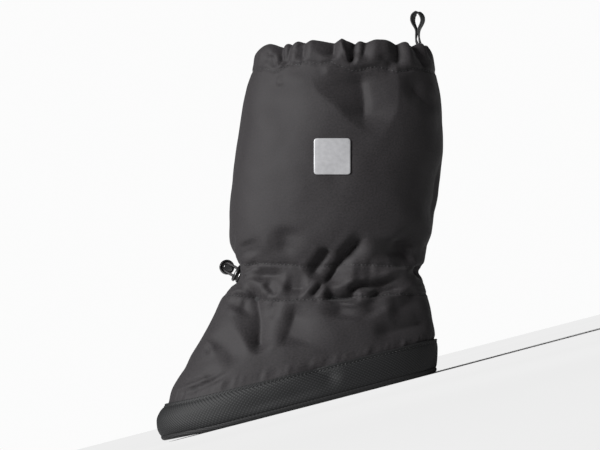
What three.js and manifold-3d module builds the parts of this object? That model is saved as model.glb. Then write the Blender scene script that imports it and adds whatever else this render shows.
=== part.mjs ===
// A child's winter overshoe: a soft fabric boot that is pulled over a shoe or a knitted bootie.
// One gathered upper stands on a padded fabric sole, with a heavy woven band round the foot,
// a drawcord at the ankle, an elastic hem at the collar and a pull loop behind.
// Frame: +Z up, toe towards -X, outer side towards -Y, origin on the floor under the sole's middle.
import * as THREE from "three";
import { mergeVertices } from "three/addons/utils/BufferGeometryUtils.js";
import Module from "manifold-3d";

const wasm = await Module();
wasm.setup();

// Sole and band sizes, in millimetres.
const soleLength = 196;
const soleWidth = 88;
const soleThickness = 3.5;
const soleEdgeRound = 2.2;
const toeSpring = 2;
const heelSpring = 0.5;
const bandHeight = 24;
const bandHeelShare = 0.93;
const bandThickness = 1.4;

// Upper and shaft sizes, in millimetres, and the shaft's backward lean in degrees.
const fabricWall = 1.6;
const casingWall = 2.6;
const hemWall = 4.6;
const ankleHeight = 92;
const ankleAlong = 44.5;
const shaftLean = 14.6;
const shaftHeight = 156;
const shaftDepth = 148;
const shaftWidth = 92;
const casingHeight = 20;
const hemHeight = 19;
const dimpleDepth = 9.8;
const dimpleRise = 0.76;
const dimpleHeight = 10;
const dimpleWidth = 9;

// Trim sizes, in millimetres and degrees.
const clearance = 0.3;
const cordDiameter = 2;
const cordSpacing = 6;
const cordPitch = 30;
const cordRise = 0.54;
const lockDiameter = 13;
const lockThickness = 6.2;
const lockGroove = 1.1;
const lockStandOff = 7.4;
const endDiameter = 10.6;
const endThickness = 6;
const endStandOff = 9.8;
const slotMargin = 0.5;
const tapeWidth = 9;
const tapeThickness = 1.6;
const loopEyeWidth = 5.8;
const loopEyeHeight = 8.6;
const loopHeight = 25.5;
const loopTuck = 12;
const loopSlant = 1.8;
const patchSide = 25;
const patchCorner = 2;
const patchThickness = 0.6;
const patchAlong = 1.8;
const patchUp = 73;

// Mesh fineness: points round a section, and the longest step between two levels.
const roundPoints = 56;
const levelStep = 13;

// The foot's part inside the band, from the rim on the sole to the band's top edge.
// rise is a share of that height, toeOut and heelOut are shares of soleLength past the sole's ends,
// width is a share of soleWidth, full rounds the ends and egg widens the front.
const bandRows = [
  { rise: 0, toeOut: 0.006, heelOut: -0.002, width: 0.955, full: 0.86, egg: 0.1 },
  { rise: 0.24, toeOut: 0.01, heelOut: 0.007, width: 0.975, full: 0.85, egg: 0.1 },
  { rise: 0.53, toeOut: 0.006, heelOut: 0.016, width: 0.98, full: 0.84, egg: 0.09 },
  { rise: 0.76, toeOut: -0.009, heelOut: 0.021, width: 0.975, full: 0.83, egg: 0.08 },
  { rise: 1, toeOut: -0.037, heelOut: 0.023, width: 0.955, full: 0.82, egg: 0.06 },
];

// The foot above the band. rise, toeRun and heelRun are shares of the way from the band's top edge
// to the casing's lower stitch line, and width is a share of soleWidth.
const instepRows = [
  { rise: 0.14, toeRun: 0.087, heelRun: 0.53, width: 0.935, full: 0.82, egg: 0.04 },
  { rise: 0.42, toeRun: 0.382, heelRun: 0.79, width: 0.895, full: 0.84, egg: 0 },
  { rise: 0.69, toeRun: 0.678, heelRun: 0.95, width: 0.85, full: 0.86, egg: -0.03 },
  { rise: 0.9, toeRun: 0.888, heelRun: 0.97, width: 0.81, full: 0.87, egg: -0.04 },
];

// The ankle's cord casing, from its lower to its upper stitch line.
// rise is a share of casingHeight, front and back are shares of shaftDepth from the shaft's axis,
// and width is a share of shaftWidth. The same columns serve the shaft and the hem below.
const casingRows = [
  { rise: 0, front: 0.5, back: 0.462, width: 0.765, full: 0.87, egg: -0.03 },
  { rise: 0.42, front: 0.449, back: 0.452, width: 0.745, full: 0.87, egg: -0.02 },
  { rise: 0.72, front: 0.44, back: 0.441, width: 0.74, full: 0.87, egg: -0.01 },
  { rise: 1, front: 0.449, back: 0.446, width: 0.765, full: 0.87, egg: 0 },
];

// The shaft, from the casing to the hem's stitch line. rise is a share of that height.
const shaftRows = [
  { rise: 0.08, front: 0.472, back: 0.468, width: 0.85, full: 0.87, egg: 0 },
  { rise: 0.23, front: 0.477, back: 0.5, width: 0.945, full: 0.86, egg: 0 },
  { rise: 0.48, front: 0.463, back: 0.528, width: 1, full: 0.86, egg: 0 },
  { rise: 0.73, front: 0.434, back: 0.542, width: 1, full: 0.86, egg: 0 },
  { rise: 0.91, front: 0.404, back: 0.526, width: 0.955, full: 0.85, egg: 0 },
];

// The elastic hem, from its stitch line to its rolled top. rise is a share of hemHeight.
const hemRows = [
  { rise: 0, front: 0.378, back: 0.504, width: 0.905, full: 0.84, egg: 0 },
  { rise: 0.3, front: 0.366, back: 0.497, width: 0.905, full: 0.84, egg: 0 },
  { rise: 0.65, front: 0.358, back: 0.49, width: 0.89, full: 0.84, egg: 0 },
  { rise: 0.92, front: 0.335, back: 0.475, width: 0.865, full: 0.84, egg: 0 },
  { rise: 1, front: 0.322, back: 0.466, width: 0.84, full: 0.84, egg: 0 },
];

// Where the rims of the upper and of the band stand, just over the sole's plate.
const rimGap = soleThickness + clearance;

const mix = (a, b, share) => a + (b - a) * share;
const lean = THREE.MathUtils.degToRad(shaftLean);
const smooth = (x) => {
  const t = THREE.MathUtils.clamp(x, 0, 1);
  return t * t * (3 - 2 * t);
};

// A point of the shaft's own leaning frame: back from its axis, across, and up from the ankle.
function shaftPoint(back, across, up) {
  const x = ankleAlong + back * Math.cos(lean) + up * Math.sin(lean);
  const z = ankleHeight - back * Math.sin(lean) + up * Math.cos(lean);
  return new THREE.Vector3(x, across, z);
}

// Every section is a flat ring between a front and a back point.
function sections() {
  const list = [];
  const add = (front, back, row, half) =>
    list.push({
      frontX: front.x,
      frontZ: front.z,
      backX: back.x,
      backZ: back.z,
      half: row.width * half,
      full: row.full,
      egg: row.egg,
    });
  const shaftSection = (row, up) =>
    add(
      shaftPoint(-row.front * shaftDepth, 0, up),
      shaftPoint(row.back * shaftDepth, 0, up),
      row,
      shaftWidth / 2,
    );

  for (const row of bandRows) {
    const z = mix(rimGap, bandHeight, row.rise);
    const heelZ = mix(rimGap, bandHeight * bandHeelShare, row.rise);
    const front = new THREE.Vector3(-soleLength * (0.5 + row.toeOut), 0, z);
    const back = new THREE.Vector3(soleLength * (0.5 + row.heelOut), 0, heelZ);
    add(front, back, row, soleWidth / 2);
  }

  const top = list.at(-1);
  const stitchFront = shaftPoint(-casingRows[0].front * shaftDepth, 0, -casingHeight);
  const stitchBack = shaftPoint(casingRows[0].back * shaftDepth, 0, -casingHeight);
  for (const row of instepRows) {
    const frontX = mix(top.frontX, stitchFront.x, row.toeRun);
    const backX = mix(top.backX, stitchBack.x, row.heelRun);
    const front = new THREE.Vector3(frontX, 0, mix(bandHeight, stitchFront.z, row.rise));
    const back = new THREE.Vector3(backX, 0, mix(top.backZ, stitchBack.z, row.rise));
    add(front, back, row, soleWidth / 2);
  }

  for (const row of casingRows) shaftSection(row, (row.rise - 1) * casingHeight);
  const bodyHeight = shaftHeight - hemHeight;
  for (const row of shaftRows) shaftSection(row, row.rise * bodyHeight);
  for (const row of hemRows) shaftSection(row, bodyHeight + row.rise * hemHeight);
  return list;
}

const rows = sections();
const columns = Object.keys(rows[0]);

// climb is the way up the wall, the mean of the front and the back line, in millimetres.
const climbs = [0];
for (let i = 1; i < rows.length; i += 1) {
  const a = rows[i - 1];
  const b = rows[i];
  const front = Math.hypot(b.frontX - a.frontX, b.frontZ - a.frontZ);
  const back = Math.hypot(b.backX - a.backX, b.backZ - a.backZ);
  climbs.push(climbs[i - 1] + (front + back) / 2);
}
const firstCasing = bandRows.length + instepRows.length;
const bandTop = climbs[bandRows.length - 1];
const casingFoot = climbs[firstCasing];
const casingTop = climbs[firstCasing + casingRows.length - 1];
const hemFoot = climbs[rows.length - hemRows.length];
const hemTop = climbs.at(-1);

// The slope of a column at a row, kept flat where the column turns, so that no section overshoots.
function slopeAt(column, i) {
  const step = (j) => (rows[j + 1][column] - rows[j][column]) / (climbs[j + 1] - climbs[j]);
  if (i === 0) return step(0);
  if (i === rows.length - 1) return step(i - 1);
  const before = step(i - 1);
  const after = step(i);
  if (before * after <= 0) return 0;
  return (2 * before * after) / (before + after);
}

function sectionAt(climb) {
  const found = climbs.findIndex((c, i) => i > 0 && climb <= c);
  const i = (found < 0 ? rows.length - 1 : found) - 1;
  const span = climbs[i + 1] - climbs[i];
  const t = (climb - climbs[i]) / span;
  const section = {};
  for (const column of columns) {
    const a = rows[i][column];
    const b = rows[i + 1][column];
    const bendA = slopeAt(column, i) * span;
    const bendB = slopeAt(column, i + 1) * span;
    const lift = t * t * (3 - 2 * t);
    section[column] =
      a + (b - a) * lift + bendA * t * (1 - t) ** 2 - bendB * t * t * (1 - t);
  }
  return section;
}

// How far the toe and the heel lift off the floor, fading out above the band.
function springAt(x, climb) {
  const toe = smooth((-x / soleLength - 0.28) / 0.3);
  const heel = smooth((x / soleLength - 0.38) / 0.18);
  return (toeSpring * toe + heelSpring * heel) * (1 - smooth(climb / bandHeight / 2));
}

// The cord pulls the wall in at the front of the casing.
function pullIn(turn, climb, section) {
  const around = Math.min(turn, 1 - turn) * Math.PI * (section.half + shaftDepth / 2);
  const beside = around / dimpleWidth;
  const above = (climb - mix(casingFoot, casingTop, dimpleRise)) / dimpleHeight;
  return dimpleDepth * Math.exp(-beside * beside - above * above);
}

// turn runs from the front (0) by the outer side and the back (0.5) to the inner side.
function skinPoint(turn, climb) {
  const section = sectionAt(climb);
  const angle = 2 * Math.PI * turn;
  const along = Math.cos(angle);
  const side = Math.sin(angle);
  const half = section.half * Math.abs(side) ** section.full * (1 + section.egg * along);
  const share = (1 - along) / 2;
  const inward = pullIn(turn, climb, section);
  const backX = section.backX - section.frontX;
  const backZ = section.backZ - section.frontZ;
  const depth = Math.hypot(backX, backZ);
  const x = section.frontX + backX * (share + (inward * along) / depth);
  const z = section.frontZ + backZ * (share + (inward * along) / depth);
  const y = -Math.sign(side) * Math.max(half - inward * Math.abs(side), 0);
  return new THREE.Vector3(x, y, z + springAt(x, climb));
}

function skinNormal(turn, climb) {
  const small = 0.004;
  const step = 0.4;
  const low = Math.max(climb - step, 0);
  const high = Math.min(climb + step, hemTop);
  const around = skinPoint(turn + small, climb).sub(skinPoint(turn - small + 1, climb));
  const upward = skinPoint(turn, high).sub(skinPoint(turn, low));
  return around.cross(upward).normalize();
}

// A ring of the wall's skin, moved out by so much, or in where out is negative.
function ring(climb, out) {
  const points = [];
  for (let i = 0; i < roundPoints; i += 1) {
    const turn = i / roundPoints;
    points.push(skinPoint(turn, climb).addScaledVector(skinNormal(turn, climb), out));
  }
  return points;
}

// Climbs from low to high that hold every row between them, no more than levelStep apart.
function levels(low, high) {
  const stops = [low, ...climbs.filter((c) => c > low + 1 && c < high - 1), high];
  const list = [low];
  for (let i = 1; i < stops.length; i += 1) {
    const count = Math.ceil((stops[i] - stops[i - 1]) / levelStep);
    for (let k = 1; k <= count; k += 1) list.push(mix(stops[i - 1], stops[i], k / count));
  }
  return list;
}

function geometryOf(points, triangles) {
  const flat = new Float32Array(points.flatMap((p) => [p.x, p.y, p.z]));
  return new THREE.BufferGeometry()
    .setAttribute("position", new THREE.BufferAttribute(flat, 3))
    .setIndex(triangles);
}

// Rings joined into a skin. A closed loop of rings makes a wall, and other rings get end caps,
// each a strip of quads across from one side to the other.
function skinOf(rings, isLoop) {
  const n = rings[0].length;
  const triangles = [];
  const quad = (a, b, c, d) => triangles.push(a, b, c, a, c, d);
  const last = isLoop ? rings.length : rings.length - 1;
  for (let j = 0; j < last; j += 1) {
    const here = j * n;
    const next = ((j + 1) % rings.length) * n;
    for (let i = 0; i < n; i += 1) {
      const k = (i + 1) % n;
      quad(here + i, here + k, next + k, next + i);
    }
  }
  if (!isLoop) {
    const top = (rings.length - 1) * n;
    for (let i = 0; i < n / 2; i += 1) {
      const a = i;
      const b = i + 1;
      const c = (n - i - 1) % n;
      const d = (n - i) % n;
      if (b !== c) triangles.push(a, c, b, top + a, top + b, top + c);
      if (a !== d) triangles.push(a, d, c, top + a, top + c, top + d);
    }
  }
  return geometryOf(rings.flat(), triangles);
}

// Three.js meshes to solids for cutting, and back.
function solidOf(geometry) {
  const bare = geometry.clone();
  bare.deleteAttribute("normal");
  bare.deleteAttribute("uv");
  const merged = mergeVertices(bare, 1e-3);
  return new wasm.Manifold(
    new wasm.Mesh({
      numProp: 3,
      vertProperties: merged.attributes.position.array,
      triVerts: new Uint32Array(merged.index.array),
    }),
  );
}

function geometryFrom(solid) {
  const mesh = solid.getMesh();
  return new THREE.BufferGeometry()
    .setAttribute("position", new THREE.BufferAttribute(mesh.vertProperties.slice(), 3))
    .setIndex(new THREE.BufferAttribute(mesh.triVerts.slice(), 1));
}

function material(hex, roughness) {
  return new THREE.MeshStandardMaterial({ color: hex, roughness, metalness: 0 });
}
const shellFabric = material(0x454346, 0.85);
const bandFabric = material(0x333435, 0.8);
const blackPlastic = material(0x141415, 0.3);
const cordFinish = material(0x1b1b1c, 0.5);
const tapeFinish = material(0x2f2e30, 0.85);
const reflective = material(0xd9d9db, 0.45);

function node(name, geometry, finish) {
  const mesh = new THREE.Mesh(geometry, finish);
  mesh.name = name;
  return mesh;
}

// A ring that is set down flat on the sole's plate, with the clearance that touching pieces keep.
function onSole(points) {
  for (const point of points) point.z = rimGap + springAt(point.x, 0);
  return points;
}

// The sole: a padded plate under the band, its lower edge rounded.
function outsole() {
  const outline = ring(0, clearance + bandThickness);
  const edge = [
    { up: 0, inset: 1 },
    { up: 0.12, inset: 0.55 },
    { up: 0.35, inset: 0.2 },
    { up: 0.65, inset: 0.04 },
    { up: 1, inset: 0.12 },
  ];
  const rings = edge.map(({ up, inset }) =>
    outline.map((p) => {
      const away = new THREE.Vector2(p.x, p.y);
      const length = away.length();
      away.multiplyScalar((length - inset * soleEdgeRound) / length);
      const lift = springAt(p.x, 0);
      return new THREE.Vector3(away.x, away.y, up * soleThickness + lift);
    }),
  );
  return skinOf(rings, false);
}

// The band round the foot: a heavier fabric laid over the upper, standing on the sole's plate.
function footBand() {
  const climbsUp = levels(0, bandTop);
  const outer = climbsUp.map((c) => ring(c, clearance + bandThickness));
  const inner = climbsUp.map((c) => ring(c, clearance)).reverse();
  onSole(outer[0]);
  onSole(inner.at(-1));
  return skinOf([...outer, ...inner], true);
}

// The upper: one hollow wall from the sole to the collar, thicker at the casing and the hem.
function wallAt(climb) {
  const soft = hemHeight / 5;
  const casingShare =
    smooth((climb - casingFoot) / soft + 0.5) * smooth((casingTop - climb) / soft + 0.5);
  const hemShare = smooth((climb - hemFoot) / soft + 0.5);
  return fabricWall + (casingWall - fabricWall) * casingShare + (hemWall - fabricWall) * hemShare;
}

// The hem rolls over at its top, so its inner side starts a little lower.
const rollDrop = hemWall * 0.35;

function upper() {
  const outerClimbs = levels(0, hemTop);
  const innerClimbs = levels(0, hemTop - rollDrop).reverse();
  const outer = outerClimbs.map((c) => ring(c, 0));
  const inner = innerClimbs.map((c) => ring(c, -wallAt(c)));
  onSole(outer[0]);
  onSole(inner.at(-1));
  const wall = solidOf(skinOf([...outer, ...inner], true));
  return geometryFrom(wall.subtract(solidOf(cordSlot())));
}

// The drawcord leaves the casing at the front, along a line that points up and forward.
const cordRoot = skinPoint(0, mix(casingFoot, casingTop, cordRise));
const pitch = THREE.MathUtils.degToRad(cordPitch) + lean;
const cordLine = new THREE.Vector3(-Math.cos(pitch), 0, Math.sin(pitch));
const cordSide = new THREE.Vector3(Math.sin(pitch), 0, Math.cos(pitch));
const onCord = (out, side) =>
  cordRoot.clone().addScaledVector(cordLine, out).addScaledVector(cordSide, side);
const lockCentre = onCord(lockStandOff, 0);
const endCentre = onCord(lockStandOff + endStandOff, 0);

function cordPath() {
  const half = cordSpacing / 2;
  const start = -casingWall - cordDiameter;
  const far = lockStandOff + endStandOff;
  const straight = [start, start / 2, 0, lockStandOff / 2, lockStandOff, (lockStandOff + far) / 2];
  const turns = [90, 60, 30, 0, -30, -60, -90].map((deg) => {
    const a = THREE.MathUtils.degToRad(deg);
    return onCord(far + half * Math.cos(a), half * Math.sin(a));
  });
  const out = straight.map((d) => onCord(d, half));
  const home = straight.map((d) => onCord(d, -half)).reverse();
  return new THREE.CatmullRomCurve3([...out, ...turns, ...home], false, "centripetal");
}

function cordShape(radius, sides) {
  const shape = new THREE.Shape();
  for (let i = 0; i < sides; i += 1) {
    const a = (2 * Math.PI * i) / sides;
    const x = radius * Math.cos(a);
    const y = radius * Math.sin(a);
    if (i === 0) shape.moveTo(x, y);
    else shape.lineTo(x, y);
  }
  shape.closePath();
  return shape;
}

function sweptCord(radius) {
  return new THREE.ExtrudeGeometry(cordShape(radius, 8), {
    steps: 34,
    bevelEnabled: false,
    extrudePath: cordPath(),
  });
}

// The buttonhole in the casing, with room for both strands of the cord.
function cordSlot() {
  const half = cordDiameter / 2 + slotMargin;
  const shape = new THREE.Shape();
  shape.absarc(0, cordSpacing / 2, half, 0, Math.PI, false);
  shape.absarc(0, -cordSpacing / 2, half, Math.PI, 2 * Math.PI, false);
  shape.closePath();
  const length = 2 * (casingWall + cordDiameter + dimpleDepth);
  const geometry = new THREE.ExtrudeGeometry(shape, {
    depth: length,
    bevelEnabled: false,
    curveSegments: 6,
  });
  geometry.translate(0, 0, -length / 2);
  return placeOnCord(geometry, cordRoot);
}

// Turns a geometry's Z axis to the cord's line and its Y axis to the cord's side.
function placeOnCord(geometry, at) {
  const across = new THREE.Vector3().crossVectors(cordSide, cordLine);
  const turn = new THREE.Matrix4().makeBasis(across, cordSide, cordLine);
  return geometry.applyMatrix4(turn.setPosition(at));
}

// The cord lock: two round flanges with a groove between, bored for both strands.
function cordLock() {
  const radius = lockDiameter / 2;
  const half = lockThickness / 2;
  const profile = [
    [0, -half],
    [radius * 0.72, -half],
    [radius * 0.93, -half * 0.72],
    [radius * 0.93, -half * 0.25],
    [radius - lockGroove, -half * 0.12],
    [radius - lockGroove, half * 0.12],
    [radius, half * 0.3],
    [radius, half * 0.66],
    [radius * 0.78, half * 0.95],
    [0, half],
  ].map(([x, y]) => new THREE.Vector2(x, y));
  const lathe = new THREE.LatheGeometry(profile, 28).rotateX(Math.PI / 2);
  const body = solidOf(placeOnCord(lathe, lockCentre));
  return geometryFrom(body.subtract(solidOf(sweptCord(cordDiameter / 2 + clearance))));
}

// The cord's end piece: a round button with a channel where the cord turns back round a post.
function cordEnd() {
  const radius = endDiameter / 2;
  const half = endThickness / 2;
  const profile = [
    [0, -half],
    [radius * 0.7, -half * 0.95],
    [radius * 0.93, -half * 0.6],
    [radius, 0],
    [radius * 0.93, half * 0.6],
    [radius * 0.7, half * 0.95],
    [0, half],
  ].map(([x, y]) => new THREE.Vector2(x, y));
  const lathe = new THREE.LatheGeometry(profile, 24);
  lathe.translate(endCentre.x, endCentre.y, endCentre.z);
  return geometryFrom(solidOf(lathe).subtract(solidOf(channel())));
}

// The swept cord with room round it, and the same again just outside, so the channel is open.
function channel() {
  const swept = solidOf(sweptCord(cordDiameter / 2 + clearance));
  const outside = swept.translate([0, -cordDiameter * 0.8, 0]);
  return geometryFrom(swept.add(outside));
}

// A point in the shaft's own leaning frame again: how far back and how far up it lies.
function inShaft(point) {
  const x = point.x - ankleAlong;
  const z = point.z - ankleHeight;
  const back = x * Math.cos(lean) - z * Math.sin(lean);
  const up = x * Math.sin(lean) + z * Math.cos(lean);
  return new THREE.Vector2(back, up);
}

// The hem's inner side beside the back, from its top down to the end of the loop's legs. The tape
// is flat and the wall is round, so the tape's edges are what the wall stops.
function hemInside() {
  const points = [];
  for (let step = 0; step <= 4; step += 1) {
    const climb = hemTop - mix(rollDrop, loopTuck, step / 4);
    const turn = 0.5 - 1 / roundPoints;
    const wall = skinPoint(turn, climb).addScaledVector(skinNormal(turn, climb), -wallAt(climb));
    points.push(inShaft(wall));
  }
  return points;
}

// The pull loop: a tape folded into an eye, its two legs tucked inside the hem at the back.
function pullLoop() {
  const legs = 2 * tapeThickness;
  const wall = hemInside();
  const middle = wall[0].x - clearance - tapeThickness - loopSlant;
  const halfWidth = loopEyeWidth / 2 + tapeThickness;
  const halfHeight = loopEyeHeight / 2 + tapeThickness;
  const eyeMiddle = shaftHeight + loopHeight - halfHeight;
  const opening = Math.acos(tapeThickness / halfWidth);
  const shape = new THREE.Shape();
  wall.forEach((p, i) => {
    if (i === 0) shape.moveTo(p.x - clearance - legs, p.y);
    else shape.lineTo(p.x - clearance - legs, p.y);
  });
  for (const p of [...wall].reverse()) shape.lineTo(p.x - clearance, p.y);
  shape.absellipse(middle, eyeMiddle, halfWidth, halfHeight, -opening, Math.PI + opening, false);
  shape.closePath();
  const eye = new THREE.Path();
  eye.absellipse(middle, eyeMiddle, loopEyeWidth / 2, loopEyeHeight / 2, 0, 2 * Math.PI, true);
  shape.holes.push(eye);
  const geometry = new THREE.ExtrudeGeometry(shape, {
    depth: tapeWidth,
    bevelEnabled: false,
    curveSegments: 24,
  });
  geometry.translate(0, 0, -tapeWidth / 2);
  // Drawn upright in XY and extruded along Z: stood up in XZ, then leaned with the shaft.
  geometry.rotateX(Math.PI / 2);
  geometry.rotateY(lean);
  return geometry.translate(ankleAlong, 0, ankleHeight);
}

// The reflective patch lies on the shaft's outer side, square with the shaft.
function climbAtShaftHeight(up) {
  let low = casingTop;
  let high = hemTop;
  for (let i = 0; i < 40; i += 1) {
    const middle = (low + high) / 2;
    const section = sectionAt(middle);
    const dx = (section.frontX + section.backX) / 2 - ankleAlong;
    const dz = (section.frontZ + section.backZ) / 2 - ankleHeight;
    if (dx * Math.sin(lean) + dz * Math.cos(lean) < up) low = middle;
    else high = middle;
  }
  return (low + high) / 2;
}

function onOuterSide(back, up, out) {
  const climb = climbAtShaftHeight(up);
  const section = sectionAt(climb);
  const x = ankleAlong + back * Math.cos(lean) + up * Math.sin(lean);
  const share = (x - section.frontX) / (section.backX - section.frontX);
  const turn = Math.acos(1 - 2 * share) / (2 * Math.PI);
  return skinPoint(turn, climb).addScaledVector(skinNormal(turn, climb), out);
}

// The patch's outline, with its corners rounded and a few points along each side.
function patchOutline() {
  const straight = patchSide / 2 - patchCorner;
  const points = [];
  for (let corner = 0; corner < 4; corner += 1) {
    const turn = (Math.PI / 2) * corner;
    const put = (x, y) =>
      points.push([x * Math.cos(turn) - y * Math.sin(turn), x * Math.sin(turn) + y * Math.cos(turn)]);
    for (const share of [-0.6, -0.2, 0.2, 0.6]) put(patchSide / 2, share * straight);
    for (let step = 0; step <= 3; step += 1) {
      const a = (Math.PI / 2) * (step / 3);
      put(straight + patchCorner * Math.cos(a), straight + patchCorner * Math.sin(a));
    }
  }
  return points;
}

function reflectivePatch() {
  const outline = patchOutline();
  const layer = (share, out) =>
    outline.map(([x, y]) => onOuterSide(patchAlong + x * share, patchUp + y * share, out));
  const shares = [0.2, 0.45, 0.72, 1];
  const under = clearance;
  const over = clearance + patchThickness;
  const rings = [
    ...shares.map((share) => layer(share, under)),
    ...shares.map((share) => layer(share, over)).reverse(),
  ];
  const n = outline.length;
  const points = [...rings.flat(), onOuterSide(patchAlong, patchUp, under)];
  points.push(onOuterSide(patchAlong, patchUp, over));
  const lowest = n * rings.length;
  const triangles = [];
  for (let i = 0; i < n; i += 1) {
    const k = (i + 1) % n;
    triangles.push(lowest, k, i);
    triangles.push(lowest + 1, lowest - n + i, lowest - n + k);
    for (let j = 0; j + 1 < rings.length; j += 1) {
      const here = j * n;
      triangles.push(here + i, here + k, here + n + k, here + i, here + n + k, here + n + i);
    }
  }
  return geometryOf(points, triangles);
}

const overshoe = new THREE.Group();
overshoe.add(
  node("outsole", outsole(), bandFabric),
  node("foot_band", footBand(), bandFabric),
  node("upper", upper(), shellFabric),
  node("pull_loop", pullLoop(), tapeFinish),
  node("reflective_patch", reflectivePatch(), reflective),
  node("drawcord", sweptCord(cordDiameter / 2), cordFinish),
  node("cord_lock", cordLock(), blackPlastic),
  node("cord_end", cordEnd(), blackPlastic),
);
export default overshoe;
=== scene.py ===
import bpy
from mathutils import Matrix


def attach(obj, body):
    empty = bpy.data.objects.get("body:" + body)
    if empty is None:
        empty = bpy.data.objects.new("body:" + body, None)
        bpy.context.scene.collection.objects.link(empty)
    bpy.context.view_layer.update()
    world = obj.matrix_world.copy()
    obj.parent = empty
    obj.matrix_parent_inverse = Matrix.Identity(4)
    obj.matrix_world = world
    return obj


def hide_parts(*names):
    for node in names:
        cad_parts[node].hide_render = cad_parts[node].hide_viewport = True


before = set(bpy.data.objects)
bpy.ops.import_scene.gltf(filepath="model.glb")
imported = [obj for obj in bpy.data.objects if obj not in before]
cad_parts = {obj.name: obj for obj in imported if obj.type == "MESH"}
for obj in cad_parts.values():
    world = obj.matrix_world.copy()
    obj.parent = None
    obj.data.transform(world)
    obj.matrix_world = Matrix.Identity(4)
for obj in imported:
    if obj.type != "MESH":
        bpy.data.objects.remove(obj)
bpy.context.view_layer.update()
print("frame loaded")

import math

import bmesh
import bpy
import numpy as np
from mathutils import Vector
from mathutils import noise as cloudNoise

# The shoe stands as in the part: toe towards -X, outer side towards -Y, sole on the floor.
# The shape is worked out in millimetres and goes into the meshes in metres.
mm = 0.001


# Camera: the photograph looks at the outer side, with the shoe turned in the picture.
picture = {
    "turn": 14.5,  # degrees that the shoe is rolled in the picture
    "distance": 1.6,
    "width": 0.424,  # metres across the picture at the shoe
    "aim": (0.0313, 0, 0.1251),
    "overFloor": 0.012,
}


def placeCamera():
    lens = bpy.data.cameras.new("camera")
    lens.sensor_width = 36
    lens.lens = lens.sensor_width * picture["distance"] / picture["width"]
    camera = bpy.data.objects.new("camera", lens)
    bpy.context.collection.objects.link(camera)
    aim = Vector(picture["aim"])
    camera.location = (aim.x, aim.y - picture["distance"], picture["overFloor"])
    towards = (aim - camera.location).to_track_quat("-Z", "Y")
    camera.rotation_euler = towards.to_euler()
    camera.rotation_euler.rotate_axis("Z", -math.radians(picture["turn"]))
    bpy.context.scene.camera = camera


placeCamera()
print("camera placed")


def addPiece(name, points, faces, finishes, uvs=None, kinds=None):
    mesh = bpy.data.meshes.new(name)
    mesh.from_pydata((np.asarray(points) * mm).tolist(), [], faces)
    for finish in finishes:
        mesh.materials.append(finish)
    if kinds is not None:
        mesh.polygons.foreach_set("material_index", kinds)
    if uvs is not None:
        layer = mesh.uv_layers.new(name="cloth")
        layer.data.foreach_set("uv", np.asarray(uvs, dtype=np.float32).ravel())
    mesh.shade_smooth()
    mesh.validate()
    piece = bpy.data.objects.new(name, mesh)
    bpy.context.collection.objects.link(piece)
    return piece


# Rings of points joined into a skin: rings is rows x columns x 3, and the columns close round.
def ringFaces(rowCount, columnCount, isLoop):
    faces = []
    for r in range(rowCount if isLoop else rowCount - 1):
        here = r * columnCount
        above = ((r + 1) % rowCount) * columnCount
        for c in range(columnCount):
            d = (c + 1) % columnCount
            faces.append((here + c, here + d, above + d, above + c))
    return faces


def ringUvs(rowCount, columnCount, isLoop, across, up):
    count = rowCount if isLoop else rowCount - 1
    rows = np.arange(count)
    cols = np.arange(columnCount)
    r, c = np.meshgrid(rows, cols, indexing="ij")
    heights = np.append(up, up[-1] + 1)
    low = heights[r]
    high = heights[r + 1]
    left = c * across / columnCount
    right = (c + 1) * across / columnCount
    corners = [(left, low), (right, low), (right, high), (left, high)]
    return np.stack([np.stack(corner, axis=-1) for corner in corners], axis=2).reshape(-1, 2)


def smoothLine(points, steps=10):
    p = np.asarray(points, dtype=float)
    ends = np.vstack([2 * p[0] - p[1], p, 2 * p[-1] - p[-2]])
    line = []
    for i in range(1, len(ends) - 2):
        a, b, c, d = ends[i - 1 : i + 3]
        for t in np.arange(steps) / steps:
            bend = 2 * b + (c - a) * t + (2 * a - 5 * b + 4 * c - d) * t**2
            line.append(0.5 * (bend + (3 * b - a - 3 * c + d) * t**3))
    line.append(p[-1])
    return np.array(line)


def arcLengths(path):
    return np.concatenate([[0], np.cumsum(np.linalg.norm(np.diff(path, axis=0), axis=1))])


# Closes the two ends of rings that don't join up.
def capEnds(faces, rowCount, columnCount):
    last = (rowCount - 1) * columnCount
    faces.append(tuple(range(columnCount))[::-1])
    faces.append(tuple(range(last, last + columnCount)))


def cappedUvs(uvs, columnCount):
    return np.vstack([uvs, np.zeros((2 * columnCount, 2))])


# Carries an outline, given across and up from the path, along the path.
def sweep(path, across, up, outline):
    rings = [path + across * a + up * b for a, b in outline]
    return np.stack(rings, axis=1).reshape(-1, 3)


def unit(vectors):
    return vectors / np.maximum(np.linalg.norm(vectors, axis=-1, keepdims=True), 1e-9)


def smooth(x):
    t = np.clip(x, 0, 1)
    return t * t * (3 - 2 * t)


def tone(red, green, blue):
    def linear(value):
        share = value / 255
        return share / 12.92 if share < 0.04045 else ((share + 0.055) / 1.055) ** 2.4

    return (linear(red), linear(green), linear(blue), 1)


def newFinish(name, colour, roughness, **sockets):
    finish = bpy.data.materials.new(name)
    finish.use_nodes = True
    tree = finish.node_tree
    shader = tree.nodes["Principled BSDF"]
    shader.inputs["Base Color"].default_value = tone(*colour)
    shader.inputs["Roughness"].default_value = roughness
    for socket, value in sockets.items():
        shader.inputs[socket.replace("_", " ")].default_value = value
    return finish, tree, shader


def put(tree, kind, inputs=None, **settings):
    node = tree.nodes.new(kind)
    for key, value in settings.items():
        setattr(node, key, value)
    for key, value in (inputs or {}).items():
        if isinstance(value, bpy.types.NodeSocket):
            tree.links.new(value, node.inputs[key])
        else:
            node.inputs[key].default_value = value
    return node


def clothUv(tree):
    return put(tree, "ShaderNodeUVMap", uv_map="cloth").outputs["UV"]


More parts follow.
